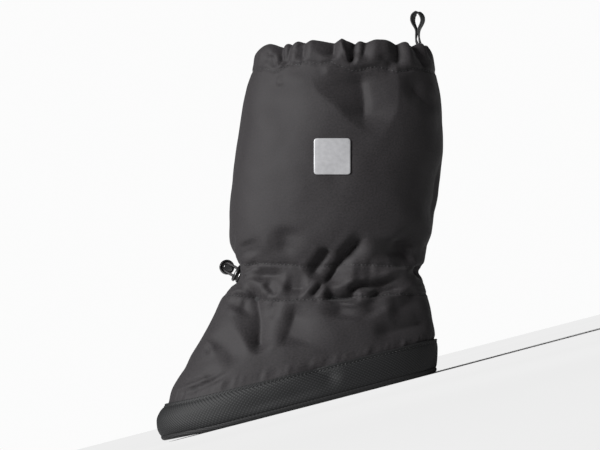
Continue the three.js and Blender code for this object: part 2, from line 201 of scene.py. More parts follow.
def inPlace(tree):
    return put(tree, "ShaderNodeTexCoord").outputs["Object"]


def maths(tree, operation, a, b=0.5):
    return put(tree, "ShaderNodeMath", {0: a, 1: b}, operation=operation).outputs[0]


# Even ribs, pitch millimetres apart, across a direction turned by so many degrees.
def ribs(tree, where, pitch, degrees, wander=0.0):
    turned = put(
        tree,
        "ShaderNodeMapping",
        {"Vector": where, "Rotation": (0, 0, math.radians(degrees))},
    )
    wave = put(
        tree,
        "ShaderNodeTexWave",
        {
            "Vector": turned.outputs[0],
            "Scale": math.pi / 10 / pitch,
            "Distortion": wander,
            "Detail": 1.0,
            "Detail Scale": 1.5,
        },
        wave_type="BANDS",
        bands_direction="X",
    )
    return wave.outputs["Fac"]


def clouds(tree, where, size, detail=2.0):
    scale = 1 / size
    inputs = {"Vector": where, "Scale": scale, "Detail": detail}
    return put(tree, "ShaderNodeTexNoise", inputs).outputs["Fac"]


def ramp(tree, factor, low, high, lowTone, highTone):
    node = put(tree, "ShaderNodeValToRGB", {"Fac": factor})
    node.color_ramp.elements[0].position = low
    node.color_ramp.elements[1].position = high
    node.color_ramp.elements[0].color = tone(*lowTone)
    node.color_ramp.elements[1].color = tone(*highTone)
    return node.outputs["Color"]


def spread(tree, factor, low, high):
    inputs = {"Value": factor, "To Min": low, "To Max": high}
    return put(tree, "ShaderNodeMapRange", inputs).outputs["Result"]


def bumped(tree, height, depth, under=None):
    inputs = {"Height": height, "Distance": depth * mm, "Strength": 1.0}
    if under is not None:
        inputs["Normal"] = under
    return put(tree, "ShaderNodeBump", inputs).outputs["Normal"]


shellLook = {
    "dark": (8, 7, 8),
    "light": (28, 25, 27),
    "roughness": (0.62, 0.8),
    "threadPitch": 0.62,
    "threadDepth": 0.035,
    "slubSize": 1.15,
    "creaseSize": 5.0,
    "creaseDepth": 0.12,
}


def shellFinish(name, look):
    finish, tree, shader = newFinish(name, look["light"], 0.7, Specular_IOR_Level=0.22)
    uv = clothUv(tree)
    slub = clouds(tree, uv, look["slubSize"], 3.0)
    tint = ramp(tree, slub, 0.28, 0.68, look["dark"], look["light"])
    tree.links.new(tint, shader.inputs["Base Color"])
    tree.links.new(spread(tree, slub, *look["roughness"]), shader.inputs["Roughness"])
    warp = ribs(tree, uv, look["threadPitch"], 0, 0.4)
    weft = ribs(tree, uv, look["threadPitch"] * 0.8, 90, 0.4)
    weave = maths(tree, "MULTIPLY", warp, weft)
    crumple = clouds(tree, uv, look["creaseSize"], 2.0)
    under = bumped(tree, crumple, look["creaseDepth"])
    slubby = bumped(tree, slub, look["threadDepth"] * 1.5, under)
    normal = bumped(tree, weave, look["threadDepth"], slubby)
    tree.links.new(normal, shader.inputs["Normal"])
    shader.inputs["Sheen Weight"].default_value = 0.06
    shader.inputs["Sheen Roughness"].default_value = 0.45
    return finish


# The twill's groove tone is painted shade: the grooves between the ribs are coloured darker than the
# ribs (the sole's twill too).
twillLookGrooveShade = {
    "groove": (4, 4, 5),
    "rib": (16, 17, 18),
    "ribPitch": 1.5,
    "ribTurn": -52,
    "crossPitch": 1.9,
    "crossTurn": 34,
    "depth": 0.2,
    "roughness": 0.68,
}


def twillFinish(name, look):
    finish, tree, shader = newFinish(name, look["rib"], look["roughness"], Specular_IOR_Level=0.25)
    uv = clothUv(tree)
    rib = ribs(tree, uv, look["ribPitch"], look["ribTurn"], 0.3)
    cross = ribs(tree, uv, look["crossPitch"], look["crossTurn"], 0.3)
    knots = maths(tree, "MULTIPLY", rib, spread(tree, cross, 0.45, 1.0))
    # Painted shade: the pattern's lows, the grooves between the ribs, get the darker groove tone.
    tint = ramp(tree, knots, 0.1, 0.75, look["groove"], look["rib"])
    tree.links.new(tint, shader.inputs["Base Color"])
    fibre = clouds(tree, uv, 0.5, 2.0)
    rough = bumped(tree, fibre, 0.03)
    tree.links.new(bumped(tree, knots, look["depth"], rough), shader.inputs["Normal"])
    return finish


def liningFinish():
    finish, tree, shader = newFinish("liningKnit", (20, 20, 21), 0.85, Specular_IOR_Level=0.2)
    uv = clothUv(tree)
    knit = maths(tree, "MULTIPLY", ribs(tree, uv, 1.0, 0, 0.8), ribs(tree, uv, 0.8, 90, 0.8))
    tint = ramp(tree, knit, 0.0, 1.0, (14, 14, 15), (27, 27, 29))
    tree.links.new(tint, shader.inputs["Base Color"])
    tree.links.new(bumped(tree, knit, 0.12), shader.inputs["Normal"])
    shader.inputs["Sheen Weight"].default_value = 0.3
    return finish


def tapeFinish():
    finish, tree, shader = newFinish("ribbedTape", (24, 24, 25), 0.6, Specular_IOR_Level=0.25)
    uv = clothUv(tree)
    rib = ribs(tree, uv, 0.9, 90, 0.1)
    tint = ramp(tree, rib, 0.0, 1.0, (12, 12, 13), (32, 32, 33))
    tree.links.new(tint, shader.inputs["Base Color"])
    fine = bumped(tree, clouds(tree, uv, 0.4), 0.03)
    tree.links.new(bumped(tree, rib, 0.1, fine), shader.inputs["Normal"])
    return finish


def filmFinish():
    finish, tree, shader = newFinish("reflectiveFilm", (128, 128, 130), 0.4)
    where = clothUv(tree)
    beads = put(tree, "ShaderNodeTexVoronoi", {"Vector": where, "Scale": 4.0}).outputs["Distance"]
    tint = ramp(tree, clouds(tree, where, 3.0), 0.3, 0.7, (124, 124, 126), (133, 133, 135))
    tree.links.new(tint, shader.inputs["Base Color"])
    tree.links.new(bumped(tree, beads, 0.012), shader.inputs["Normal"])
    shader.inputs["Metallic"].default_value = 0.25
    return finish


def plasticFinish(name, colour, roughness):
    finish, tree, shader = newFinish(name, colour, roughness, Coat_Weight=0.6, Specular_IOR_Level=0.5)
    where = inPlace(tree)
    cloud = clouds(tree, where, 0.003, 3.0)
    tree.links.new(
        spread(tree, cloud, roughness * 0.8, roughness * 1.25), shader.inputs["Roughness"]
    )
    tree.links.new(bumped(tree, cloud, 0.02), shader.inputs["Normal"])
    shader.inputs["Coat Roughness"].default_value = 0.15
    return finish


def cordFinish():
    finish, tree, shader = newFinish("braidedCord", (60, 59, 60), 0.4, Specular_IOR_Level=0.4)
    uv = clothUv(tree)
    braid = maths(tree, "MULTIPLY", ribs(tree, uv, 0.5, 38), ribs(tree, uv, 0.5, -38))
    tint = ramp(tree, braid, 0.0, 0.8, (30, 29, 30), (84, 82, 83))
    tree.links.new(tint, shader.inputs["Base Color"])
    tree.links.new(bumped(tree, braid, 0.08), shader.inputs["Normal"])
    return finish


def threadFinish(name, colour):
    finish, tree, shader = newFinish(name, colour, 0.45, Specular_IOR_Level=0.35)
    twist = ribs(tree, clothUv(tree), 0.35, 35)
    darker = tuple(round(value * 0.7) for value in colour)
    tree.links.new(ramp(tree, twist, 0.0, 1.0, darker, colour), shader.inputs["Base Color"])
    tree.links.new(bumped(tree, twist, 0.04), shader.inputs["Normal"])
    return finish


shellCloth = shellFinish("shellCloth", shellLook)
bandTwill = twillFinish("bandTwill", twillLookGrooveShade)
soleTwill = twillFinish("soleTwill", dict(twillLookGrooveShade, rib=(20, 20, 21)))
liningKnit = liningFinish()
ribbedTape = tapeFinish()
reflectiveFilm = filmFinish()
glossPlastic = plasticFinish("glossPlastic", (12, 12, 13), 0.3)
braidedCord = cordFinish()
greyThread = threadFinish("greyThread", (22, 22, 23))
print("finishes made")


# The shoe's own shape, section by section, with the part's sizes in millimetres.
shoe = {
    "soleLength": 196,
    "soleWidth": 88,
    "soleThickness": 3.5,
    "rim": 3.8,  # where upper and band stand on the sole
    "toeSpring": 2,
    "heelSpring": 0.5,
    "bandHeight": 24,
    "bandHeel": 0.93,
    "bandOut": 1.7,
    "bandIn": 0.3,
    "wall": 1.6,
    "casingWall": 2.6,
    "hemWall": 4.6,
    "ankle": (44.5, 92),
    "lean": 14.6,
    "shaftHeight": 156,
    "shaftDepth": 148,
    "shaftWidth": 92,
    "casingHeight": 20,
    "hemHeight": 19,
    "dimpleDepth": 9.8,
    "dimpleRise": 0.76,
    "dimpleHeight": 10,
    "dimpleWidth": 9,
    # rise, toe, heel, width, fullness, egg
    "bandLevels": [
        (0, 0.006, -0.002, 0.955, 0.86, 0.1),
        (0.24, 0.01, 0.007, 0.975, 0.85, 0.1),
        (0.53, 0.006, 0.016, 0.98, 0.84, 0.09),
        (0.76, -0.009, 0.021, 0.975, 0.83, 0.08),
        (1, -0.037, 0.023, 0.955, 0.82, 0.06),
    ],
    "instepLevels": [
        (0.14, 0.087, 0.53, 0.935, 0.82, 0.04),
        (0.42, 0.382, 0.79, 0.895, 0.84, 0),
        (0.69, 0.678, 0.95, 0.85, 0.86, -0.03),
        (0.9, 0.888, 0.97, 0.81, 0.87, -0.04),
    ],
    "casingLevels": [
        (0, 0.5, 0.462, 0.765, 0.87, -0.03),
        (0.42, 0.449, 0.452, 0.745, 0.87, -0.02),
        (0.72, 0.44, 0.441, 0.74, 0.87, -0.01),
        (1, 0.449, 0.446, 0.765, 0.87, 0),
    ],
    "shaftLevels": [
        (0.08, 0.472, 0.468, 0.85, 0.87, 0),
        (0.23, 0.477, 0.5, 0.945, 0.86, 0),
        (0.48, 0.463, 0.528, 1, 0.86, 0),
        (0.73, 0.434, 0.542, 1, 0.86, 0),
        (0.91, 0.404, 0.526, 0.955, 0.85, 0),
    ],
    "hemLevels": [
        (0, 0.378, 0.504, 0.905, 0.84, 0),
        (0.3, 0.366, 0.497, 0.905, 0.84, 0),
        (0.65, 0.358, 0.49, 0.89, 0.84, 0),
        (0.92, 0.335, 0.475, 0.865, 0.84, 0),
        (1, 0.322, 0.466, 0.84, 0.84, 0),
    ],
}
lean = math.radians(shoe["lean"])


def shaftPoint(back, up):
    x = shoe["ankle"][0] + back * math.cos(lean) + up * math.sin(lean)
    z = shoe["ankle"][1] - back * math.sin(lean) + up * math.cos(lean)
    return x, z


# One row a section: front x and z, back x and z, half width, fullness, egg.
def buildSections():
    rows = []
    length = shoe["soleLength"]
    half = shoe["soleWidth"] / 2
    rim = shoe["rim"]
    top = shoe["bandHeight"]
    for rise, toe, heel, width, full, egg in shoe["bandLevels"]:
        z = rim + (top - rim) * rise
        heelZ = rim + (top * shoe["bandHeel"] - rim) * rise
        front = (-length * (0.5 + toe), z)
        back = (length * (0.5 + heel), heelZ)
        rows.append((*front, *back, width * half, full, egg))
    edge = rows[-1]
    depth = shoe["shaftDepth"]
    lowest = shoe["casingLevels"][0]
    stitchFront = shaftPoint(-lowest[1] * depth, -shoe["casingHeight"])
    stitchBack = shaftPoint(lowest[2] * depth, -shoe["casingHeight"])
    for rise, toe, heel, width, full, egg in shoe["instepLevels"]:
        frontX = edge[0] + (stitchFront[0] - edge[0]) * toe
        backX = edge[2] + (stitchBack[0] - edge[2]) * heel
        frontZ = top + (stitchFront[1] - top) * rise
        backZ = edge[3] + (stitchBack[1] - edge[3]) * rise
        rows.append((frontX, frontZ, backX, backZ, width * half, full, egg))
    body = shoe["shaftHeight"] - shoe["hemHeight"]
    half = shoe["shaftWidth"] / 2
    heights = [
        ("casingLevels", -shoe["casingHeight"], shoe["casingHeight"]),
        ("shaftLevels", 0, body),
        ("hemLevels", body, shoe["hemHeight"]),
    ]
    for levels, start, height in heights:
        for rise, toe, heel, width, full, egg in shoe[levels]:
            up = start + rise * height
            front = shaftPoint(-toe * depth, up)
            back = shaftPoint(heel * depth, up)
            rows.append((*front, *back, width * half, full, egg))
    return np.array(rows)


sections = buildSections()
frontSteps = np.hypot(*np.diff(sections[:, 0:2], axis=0).T)
backSteps = np.hypot(*np.diff(sections[:, 2:4], axis=0).T)
climbs = np.concatenate([[0], np.cumsum((frontSteps + backSteps) / 2)])
firstCasing = len(shoe["bandLevels"]) + len(shoe["instepLevels"])
bandTop = climbs[len(shoe["bandLevels"]) - 1]
casingFoot = climbs[firstCasing]
casingTop = climbs[firstCasing + len(shoe["casingLevels"]) - 1]
hemFoot = climbs[-len(shoe["hemLevels"])]
hemTop = climbs[-1]


# Slopes at the sections, for a curve through them that doesn't overshoot.
def buildSlopes():
    steps = np.diff(sections, axis=0) / np.diff(climbs)[:, None]
    product = steps[:-1] * steps[1:]
    total = steps[:-1] + steps[1:]
    middle = np.where(product > 0, 2 * product / np.where(total == 0, 1, total), 0)
    return np.vstack([steps[0], middle, steps[-1]])


slopes = buildSlopes()


def sectionAt(climb):
    climb = np.asarray(climb, dtype=float)
    i = np.clip(np.searchsorted(climbs, climb, side="left") - 1, 0, len(climbs) - 2)
    span = (climbs[i + 1] - climbs[i])[:, None]
    t = (climb - climbs[i])[:, None] / span
    a = sections[i]
    b = sections[i + 1]
    lift = t * t * (3 - 2 * t)
    bend = slopes[i] * span * t * (1 - t) ** 2 - slopes[i + 1] * span * t * t * (1 - t)
    return (a + (b - a) * lift + bend).T


# turn runs from the front (0) by the outer side and the back (0.5) to the inner side,
# and climb is the way up the wall.
def skin(turn, climb):
    turn = np.asarray(turn, dtype=float)
    frontX, frontZ, backX, backZ, halfWidth, full, egg = sectionAt(climb)
    along = np.cos(2 * np.pi * turn)
    side = np.sin(2 * np.pi * turn)
    half = halfWidth * np.abs(side) ** full * (1 + egg * along)
    share = (1 - along) / 2
    around = np.minimum(turn % 1, 1 - turn % 1) * np.pi * (halfWidth + shoe["shaftDepth"] / 2)
    beside = around / shoe["dimpleWidth"]
    dimple = casingFoot + (casingTop - casingFoot) * shoe["dimpleRise"]
    above = (climb - dimple) / shoe["dimpleHeight"]
    inward = shoe["dimpleDepth"] * np.exp(-beside * beside - above * above)
    reach = share + inward * along / np.hypot(backX - frontX, backZ - frontZ)
    x = frontX + (backX - frontX) * reach
    z = frontZ + (backZ - frontZ) * reach
    y = -np.sign(side) * np.maximum(half - inward * np.abs(side), 0)
    return np.stack([x, y, z + springAt(x, climb)], axis=-1)


def springAt(x, climb):
    toe = smooth((-x / shoe["soleLength"] - 0.28) / 0.3)
    heel = smooth((x / shoe["soleLength"] - 0.38) / 0.18)
    fade = 1 - smooth(climb / shoe["bandHeight"] / 2)
    return (shoe["toeSpring"] * toe + shoe["heelSpring"] * heel) * fade


def skinNormal(turn, climb):
    around = skin(turn + 0.004, climb) - skin(turn - 0.004 + 1, climb)
    high = np.minimum(climb + 0.4, hemTop)
    low = np.maximum(climb - 0.4, 0)
    return unit(np.cross(around, skin(turn, high) - skin(turn, low)))


def wallAt(climb):
    soft = shoe["hemHeight"] / 5
    casing = smooth((climb - casingFoot) / soft + 0.5) * smooth((casingTop - climb) / soft + 0.5)
    hem = smooth((climb - hemFoot) / soft + 0.5)
    wall = shoe["wall"]
    return wall + (shoe["casingWall"] - wall) * casing + (shoe["hemWall"] - wall) * hem


# Folds, listed one by one. A fold is a trough along a line in a side's own view, in millimetres.
# Its widths are the wall towards the light and the wall away from it, pair by pair along the line.
# A ridge has a depth below zero. A lower power makes a sharper crease, and 0 two flat walls.
def fold(line, widths, depth, ends=(0.35, 0.35), power=1.5):
    return {
        "line": smoothLine(line),
        "widths": np.array(widths, dtype=float).reshape(-1, 2),
        "depth": depth,
        "ends": ends,
        "power": power,
    }


outerFolds = [
    # the ankle's diagonals
    fold(
        [(75, 104), (68, 100), (59, 94), (51, 88.6), (42, 82), (34, 76)],
        (4.6, 3.2), 7, (0.25, 0.25), 1.2,
    ),
    fold([(48, 103), (42, 96), (34, 90), (28, 85)], (4.2, 3), 5, (0.25, 0.3), 1.3),
    fold([(34, 83), (26, 78), (18.5, 73.5)], (1.2, 1.2), -1.2),
    fold([(37, 81), (31, 75.5), (25, 72.5)], (1.6, 2), 2.4),
    fold([(41, 78), (36, 76.5), (31, 72), (28.5, 69.5)], (1.5, 1.5), -1.4),
    # the casing's back half
    fold([(35, 73), (43, 68), (50, 66), (60, 65)], (3.4, 1.4, 5, 1.6), 6, (0.2, 0.2), 1.2),
    fold(
        [(51, 70), (57, 71), (63, 71.5), (70, 70), (78, 68.8), (86, 70), (94, 71)],
        (2.8, 1.6), 5, (0.15, 0.45), 1.3,
    ),
    fold([(63, 62.5), (72, 63.5), (80, 64), (88, 63), (92, 60)], (5, 1.6), 5.4, power=1.2),
    fold([(74, 76), (85, 76), (97, 75), (102, 72.5)], (3, 3), -1.9),
    fold([(59, 86), (68, 83), (75.5, 80)], (6, 8), 1.4, power=2),
    fold([(50, 75), (62, 75), (72, 77.5)], (5, 2), -1.6),
    fold([(97, 98), (94, 88), (92, 80)], (14, 6), 3.5, power=2),
    fold([(105, 91), (104, 82), (104, 75)], (3, 1.5), -2),
    fold([(112, 72), (100, 72)], (2.5, 3), 3.2, (0, 0.5)),
    # above the casing
    fold([(-8, 123), (-8, 110)], (5, 4), 1.6, power=2),
    fold([(22, 125), (18, 113), (14, 103)], (7, 5), 2.3, power=2),
    # the casing's front, drawn together at the lock
    fold([(-14, 101), (-9, 103), (-3, 105)], (2.5, 1.2), 1.9),
    fold([(-18, 98), (-11, 101.5), (-5, 104)], (1.2, 1.2), -1.5),
    fold([(-11, 97.5), (-2, 95.5), (6, 93.5), (14, 93.3)], (3.5, 3), 2.8, power=1.3),
    fold([(-18, 96), (-3, 91), (5, 89.6)], (3, 3), -1.2),
    fold([(-3, 91.5), (0, 86), (3, 79)], (4, 2), 2.7, power=1.3),
    fold([(9, 84.5), (17, 81.5), (26, 79)], (6, 2.5), 3.4, power=1.3),
    # the foot
    fold(
        [(-15.5, 94), (-13.3, 86), (-12.9, 78), (-13.7, 67), (-17, 54), (-19.5, 42)],
        (2.4, 1.5, 6, 3, 10, 6, 9, 6, 5, 4, 2, 2), 6.4, (0.2, 0.2), 1.2,
    ),
    fold([(-16.4, 89), (-18.4, 84), (-20.4, 79), (-23.7, 74)], (1.6, 2), -1.4),
    fold([(-17.5, 89), (-20, 80), (-25, 73)], (11, 2), 3.2, power=1.3),
    fold([(-32, 88), (-26, 89.4), (-18, 90.7)], (1.4, 1.4), -1.1),
    fold([(-29, 92.7), (-18, 94)], (1.4, 1.4), -0.8),
    fold([(0, 79), (-2, 72), (-6, 64)], (4, 3), 1.2),
    fold(
        [(16.4, 72.3), (13.2, 67), (7.9, 57.8), (2, 48.6), (-1, 42)],
        (4, 5, 7, 9, 6, 8), 4.4, power=1.3,
    ),
    fold([(47, 64.4), (43.8, 58.8), (41, 52.5)], (7, 10), 3.1),
    fold([(66, 62), (66, 55), (67, 48)], (7, 5), 2.4, power=2),
    fold([(100, 60), (92, 53), (84, 50), (74, 51)], (8, 4), 3, (0.2, 0.35)),
    fold([(104, 38), (90, 35.5), (74, 36), (60, 39)], (8, 3), 3.2, (0.2, 0.3), 1.3),
    fold([(-55, 63), (-50.7, 58), (-49.3, 54), (-51.3, 49.3)], (1.5, 1.5), -1.1),
    fold([(-54, 58), (-51.5, 52.5)], (1.2, 1), 0.9),
    fold([(-48, 66), (-41, 56), (-36, 46), (-32, 39)], (6, 5), 1.9, power=2),
    fold([(-85, 31), (-74, 31), (-60, 32.5), (-43, 35.5), (-36, 36.5)], (1.6, 1.2), 1.5),
    fold([(-83, 34), (-67, 34), (-47, 37)], (1.6, 1.6), -1.1),
    fold([(-60, 37.5), (-47, 38.5)], (3, 3), 0.9),
    # the shaft
    fold([(52, 227), (43, 217), (33, 207), (20, 197)], (13, 10, 15, 12), 3, (0.5, 0.5), 2),
    fold([(45, 229), (41, 223), (46, 222)], (1.2, 1.2), -0.5),
    fold(
        [(99, 221), (98, 205), (96, 192), (92, 180), (88, 175)],
        (22, 9, 20, 9, 12, 8, 5, 5), 6.4, (0.28, 0.3), 0,
    ),
    fold([(104, 216), (103, 200), (101, 181)], (4, 6), -0.9),
    fold([(77, 226), (76, 217)], (2.5, 2.5), -0.6),
    fold([(130, 207), (133, 195), (140, 184), (149, 176)], (5, 4), 2.4, power=1.2),
    fold([(137, 212), (134, 196), (124, 180)], (15, 6, 8, 5), 1.3),
    fold([(145, 198), (148, 191), (149.5, 186)], (1.5, 1.5), -0.5),
    fold([(138, 150), (128, 122), (112, 100)], (26, 8), 3),
    fold([(92, 100), (98, 88), (101, 74)], (8, 8), 4.6, (0.4, 0.3), 0),
    # the hem's gathers
    fold([(50, 252), (47.5, 244), (46, 238), (44, 234)], (5, 1.5, 2, 1.2), 4.7, (0, 0.3), 1.3),
    fold([(41, 246), (41.5, 238), (42.5, 233)], (3, 1), 2.1),
    fold([(41, 236), (46, 236.5), (45, 232)], (1, 1), -0.8),
    fold([(57, 250), (53, 242), (50, 236), (49, 232)], (3, 1.5), 3.1, (0, 0.3), 1.3),
    fold([(67, 248), (63, 239), (60.5, 232)], (4, 1.5), 2.6, (0, 0.3), 1.3),
    fold([(66, 246), (59, 243), (54, 242)], (1.6, 1.6), 0.9),
    fold([(87, 243), (84, 234), (81, 228)], (10, 1.5, 6, 1.5), 4.4, (0, 0.3), 1.2),
    fold([(90.5, 238), (92, 226), (93, 222)], (1.2, 1.2), -1.3, (0, 0.3)),
    fold([(101, 237), (98, 229), (95, 225), (93, 221)], (7, 1.2, 2, 1.2), 4.9, (0, 0.25), 1.3),
    fold([(102, 236), (95, 224.5)], (1, 1), -1.3, (0, 0.3)),
    fold([(109, 236), (105, 228), (101, 222)], (7, 2, 4, 2), 3.4, (0, 0.4), 1.3),
    fold([(113, 224), (119, 218), (124, 211)], (4, 2), 1.8),
    fold([(131, 231), (128, 220), (125.5, 210)], (5, 2), 4.2, (0, 0.35), 1.3),
    fold([(142, 228), (144, 216), (145, 205)], (4, 1.2), 3.1, (0, 0.35), 1.3),
]

innerFolds = [
    fold(
        [(78, 114), (68, 106), (57, 97), (48, 90), (38, 84), (28, 75), (17, 63)],
        (4.6, 3.6), 4.2, power=1.2,
    ),
    fold([(30, 78), (17, 63), (6, 51), (-8, 40)], (4, 3), 2.4, power=1.3),
    fold([(6, 102), (-4, 99), (-12, 99), (-18, 95)], (3.2, 2.4), 2.6, power=1.3),
    fold([(22, 99), (30, 97), (40, 101)], (3, 3), 1.5),
    fold([(28, 85), (20, 82), (12, 79)], (2, 2), 1.5),
    fold([(-18, 92), (-22, 80), (-24, 65), (-22, 45)], (6, 3), 3, power=1.3),
    fold([(-17, 128), (-15, 118)], (3, 3), 1.4),
    fold([(-14, 113), (-8, 116), (-2, 118)], (2, 2), 1),
    fold([(-74, 43), (-60, 41), (-45, 39), (-32, 36)], (3, 1.8), 1.8, power=1.3),
    fold([(-60, 47), (-45, 46), (-28, 42)], (4, 4), 1.1),
    fold([(62, 70), (85, 74), (98, 75)], (2.2, 2), 1.3),
    fold([(50, 67), (66, 66), (80, 67)], (3, 2.4), 1.3),
    fold([(112, 72), (100, 71)], (2.5, 3), 2.2, (0, 0.5)),
    fold([(35, 160), (50, 168), (70, 174), (90, 176), (110, 172), (130, 162)], (7, 6), 1.6),
    fold([(110, 121), (95, 125), (75, 122), (60, 113)], (9, 8), 2.2),
    fold([(112, 219), (110, 205), (107, 185)], (6, 4), 2.5, (0.1, 0.4)),
    fold([(52, 232), (42, 225), (22, 216)], (6, 5), 1.8),
    fold([(80, 215), (76, 190), (72, 160)], (10, 10), -1),
    fold([(45, 256), (41, 242)], (2, 1.6), 1.6, (0, 0.4)),
    fold([(58, 254), (55, 244), (52, 230)], (2.6, 2), 3.2, (0, 0.35)),
    fold([(71, 250), (68, 236)], (2, 2), 1.3, (0, 0.4)),
    fold([(86, 247), (82, 229)], (2, 1.8), 2, (0, 0.4)),
    fold([(98, 243), (95, 225)], (1.8, 1.6), 1.3, (0, 0.4)),
    fold([(110, 240), (114, 228), (112, 214)], (2.8, 2.2), 3.4, (0, 0.3)),
    fold([(121, 236), (119, 222)], (1.6, 1.6), 1.8, (0, 0.4)),
    fold([(128, 234), (124, 220)], (2, 2), 2.4, (0, 0.4)),
    fold([(140, 231), (137, 214)], (1.8, 1.6), 1.4, (0, 0.4)),
]

# The front and the back are seen with y across, so a fold's line there is (y, z).
frontFolds = [
    fold([(4, 110), (10, 122), (14, 138)], (2.5, 3), 1.3),
    fold([(-4, 110), (-10, 121), (-17, 132)], (2.5, 3), 1.3),
    fold([(1, 112), (2, 126)], (2.5, 2.5), 0.9),
    fold([(4, 86), (8, 72), (13, 58)], (2.6, 2.6), 1.4),
    fold([(-4, 86), (-9, 73), (-10, 58)], (2.6, 2.6), 1.3),
    fold([(-26, 50), (0, 47), (24, 51)], (4, 4), 0.9),
    fold([(-25, 256), (-24, 236)], (2, 2), 2, (0, 0.4)),
    fold([(-11, 256), (-12, 238)], (1.8, 1.8), 1.5, (0, 0.4)),
    fold([(3, 256), (2, 232)], (2.4, 2.2), 2.2, (0, 0.4)),
    fold([(17, 256), (18, 238)], (1.8, 1.8), 1.4, (0, 0.4)),
    fold([(30, 256), (29, 234)], (2.2, 2), 2, (0, 0.4)),
    fold([(-18, 220), (-14, 195), (-16, 170)], (8, 8), 1.2),
    fold([(16, 214), (19, 190), (15, 165)], (8, 8), 1.1),
]

backFolds = [
    fold([(-30, 76), (-10, 72), (12, 72), (30, 76)], (3.4, 3), 2.6),
    fold([(-24, 66), (0, 63), (22, 66)], (3, 3), 1.2),
    fold([(-20, 86), (4, 88), (26, 84)], (4, 4), 1),
    fold([(-26, 104), (-6, 110), (18, 104)], (6, 6), 1),
    fold([(-27, 234), (-26, 208)], (2.2, 2), 2.4, (0, 0.4)),
    fold([(-14, 234), (-15, 212)], (1.8, 1.8), 1.6, (0, 0.4)),
    fold([(10, 234), (10, 210)], (2, 2), 1.8, (0, 0.4)),
    fold([(24, 234), (25, 207)], (2.2, 2.2), 2.2, (0, 0.4)),
    fold([(-12, 200), (-16, 175), (-12, 150)], (8, 8), 1.1),
    fold([(14, 196), (17, 170), (14, 146)], (8, 8), 1),
]

towardsLight = np.array([-0.8, 0.6])
foldForm = {
    "strength": 1.15,
    "bank": 0.12,  # how far the cloth stands up beside a trough
    "litSpread": 1.75,
}


def foldDepth(across, up, folds):
    depth = np.zeros_like(across)
    for crease in folds:
        line = crease["line"]
        widths = crease["widths"]
        reach = 3.2 * widths.max()
        low = line.min(axis=0) - reach
        high = line.max(axis=0) + reach
        near = (across > low[0]) & (across < high[0]) & (up > low[1]) & (up < high[1])
        here = np.nonzero(near)[0]
        if len(here) == 0:
            continue
        lengths = np.hypot(*np.diff(line, axis=0).T)
        starts = np.concatenate([[0], np.cumsum(lengths)])
        best = np.full(len(here), 1e9)
        side = np.zeros(len(here))
        share = np.zeros(len(here))
        for k, length in enumerate(lengths):
            dx, dz = line[k + 1] - line[k]
            px = across[here] - line[k, 0]
            pz = up[here] - line[k, 1]
            t = np.clip((px * dx + pz * dz) / length**2, 0, 1)
            gap = np.hypot(px - t * dx, pz - t * dz)
            closer = gap < best
            best = np.where(closer, gap, best)
            side = np.where(closer, dx * pz - dz * px, side)
            share = np.where(closer, (starts[k] + t * length) / starts[-1], share)
        run = line[-1] - line[0]
        if np.dot((-run[1], run[0]), towardsLight) < 0:
            side = -side
        knots = np.linspace(0, 1, len(widths))
        shaded = np.interp(share, knots, widths[:, 0])
        lit = np.interp(share, knots, widths[:, 1])
        q = best / np.where(side > 0, shaded, lit * foldForm["litSpread"])
        startFade, endFade = crease["ends"]
        fade = np.ones(len(here))
        if startFade > 0:
            fade = fade * smooth(share / startFade)
        if endFade > 0:
            fade = fade * smooth((1 - share) / endFade)
        if crease["power"] == 0:
            form = np.maximum(1 - q / 1.6, 0)
        else:
            bank = foldForm["bank"] * np.exp(-(((q - 1.9) / 0.75) ** 2))
            form = np.exp(-(q ** crease["power"])) - bank
        depth[here] += foldForm["strength"] * crease["depth"] * fade * form
    return depth


# Where a stitch line strays from its straight course: (x, millimetres up) in the side view.
strays = {
    "hemOuter": [
        (28, 0.9), (36, -0.3), (41, -2.5), (45, -2), (51, 2.1), (58, 1), (61, 3.2), (66, 2.4),
        (72, 0.8), (80, 2.7), (84, 0.4), (91, -2.5), (95, -3.6), (100, -2.9), (106, -1),
        (111, -0.5), (116, -1.5), (124, -3.8), (131, -2.1), (136, -0.4), (141, -0.3), (147, -0.9),
    ],
    "hemInner": [
        (30, 1), (40, 1), (51, -3), (60, 1.5), (72, 0.5), (82, -1), (92, 0), (106, 1), (113, -3),
        (122, -1), (128, -2), (138, 0), (146, 0),
    ],
    "casingLow": [
        (-20, -1.5), (-13, -2.2), (-8, -3.4), (-3, -4.6), (3, -5), (8, -5.9), (20, -5.4),
        (35, -5.9), (51, -4.6), (68, -4.2), (79, -1.7), (95, -1),
    ],
    "casingHigh": [
        (-16, -0.9), (-3, 0), (8, -0.7), (20, -1.4), (30, -3.3), (40, -3.4), (57, -1.8),
        (75, -1.5), (104, -2),
    ],
}


def strayOf(names, turn, climb):
    x, y, z = skin(turn, climb).T
    outer = np.interp(x, *np.array(strays[names[0]]).T)
    inner = np.interp(x, *np.array(strays[names[1]]).T)
    return np.where(y < 0, outer, inner) * smooth(np.abs(y) / 12)


def hemLine(turn):
    return hemFoot + strayOf(("hemOuter", "hemInner"), turn, np.full_like(turn, hemFoot))


def casingLow(turn):
    return casingFoot + strayOf(("casingLow", "casingLow"), turn, np.full_like(turn, casingFoot))


def casingHigh(turn):
    return casingTop + strayOf(("casingHigh", "casingHigh"), turn, np.full_like(turn, casingTop))


gathers = {
    "girth": 400,  # millimetres round the shaft, for the gathers' spacing
    "hemPuff": 0.7,
    "casingPuff": 0.5,
    "groove": 0.7,
    "grooveWidth": 1.3,
    "pucker": 0.13,
    "puckerReach": 3.2,
    "overBand": (0.5, 4),  # depth and height of the small gathers over the band
    "noise": [(30, 0.8), (13, 0.34)],
}


def puckers(turn, start):
    waves = 0
    for k, turns in enumerate((47, 71, 103, 149)):
        waves = waves + np.sin(2 * np.pi * turn * turns + start * (k + 1)) / (1 + 0.5 * k)
    return waves / 2


def clothNoise(points, size, start):
    shift = Vector((start, 2 * start, 3 * start))
    return np.array([cloudNoise.noise(Vector(p) / size + shift) for p in points.tolist()])


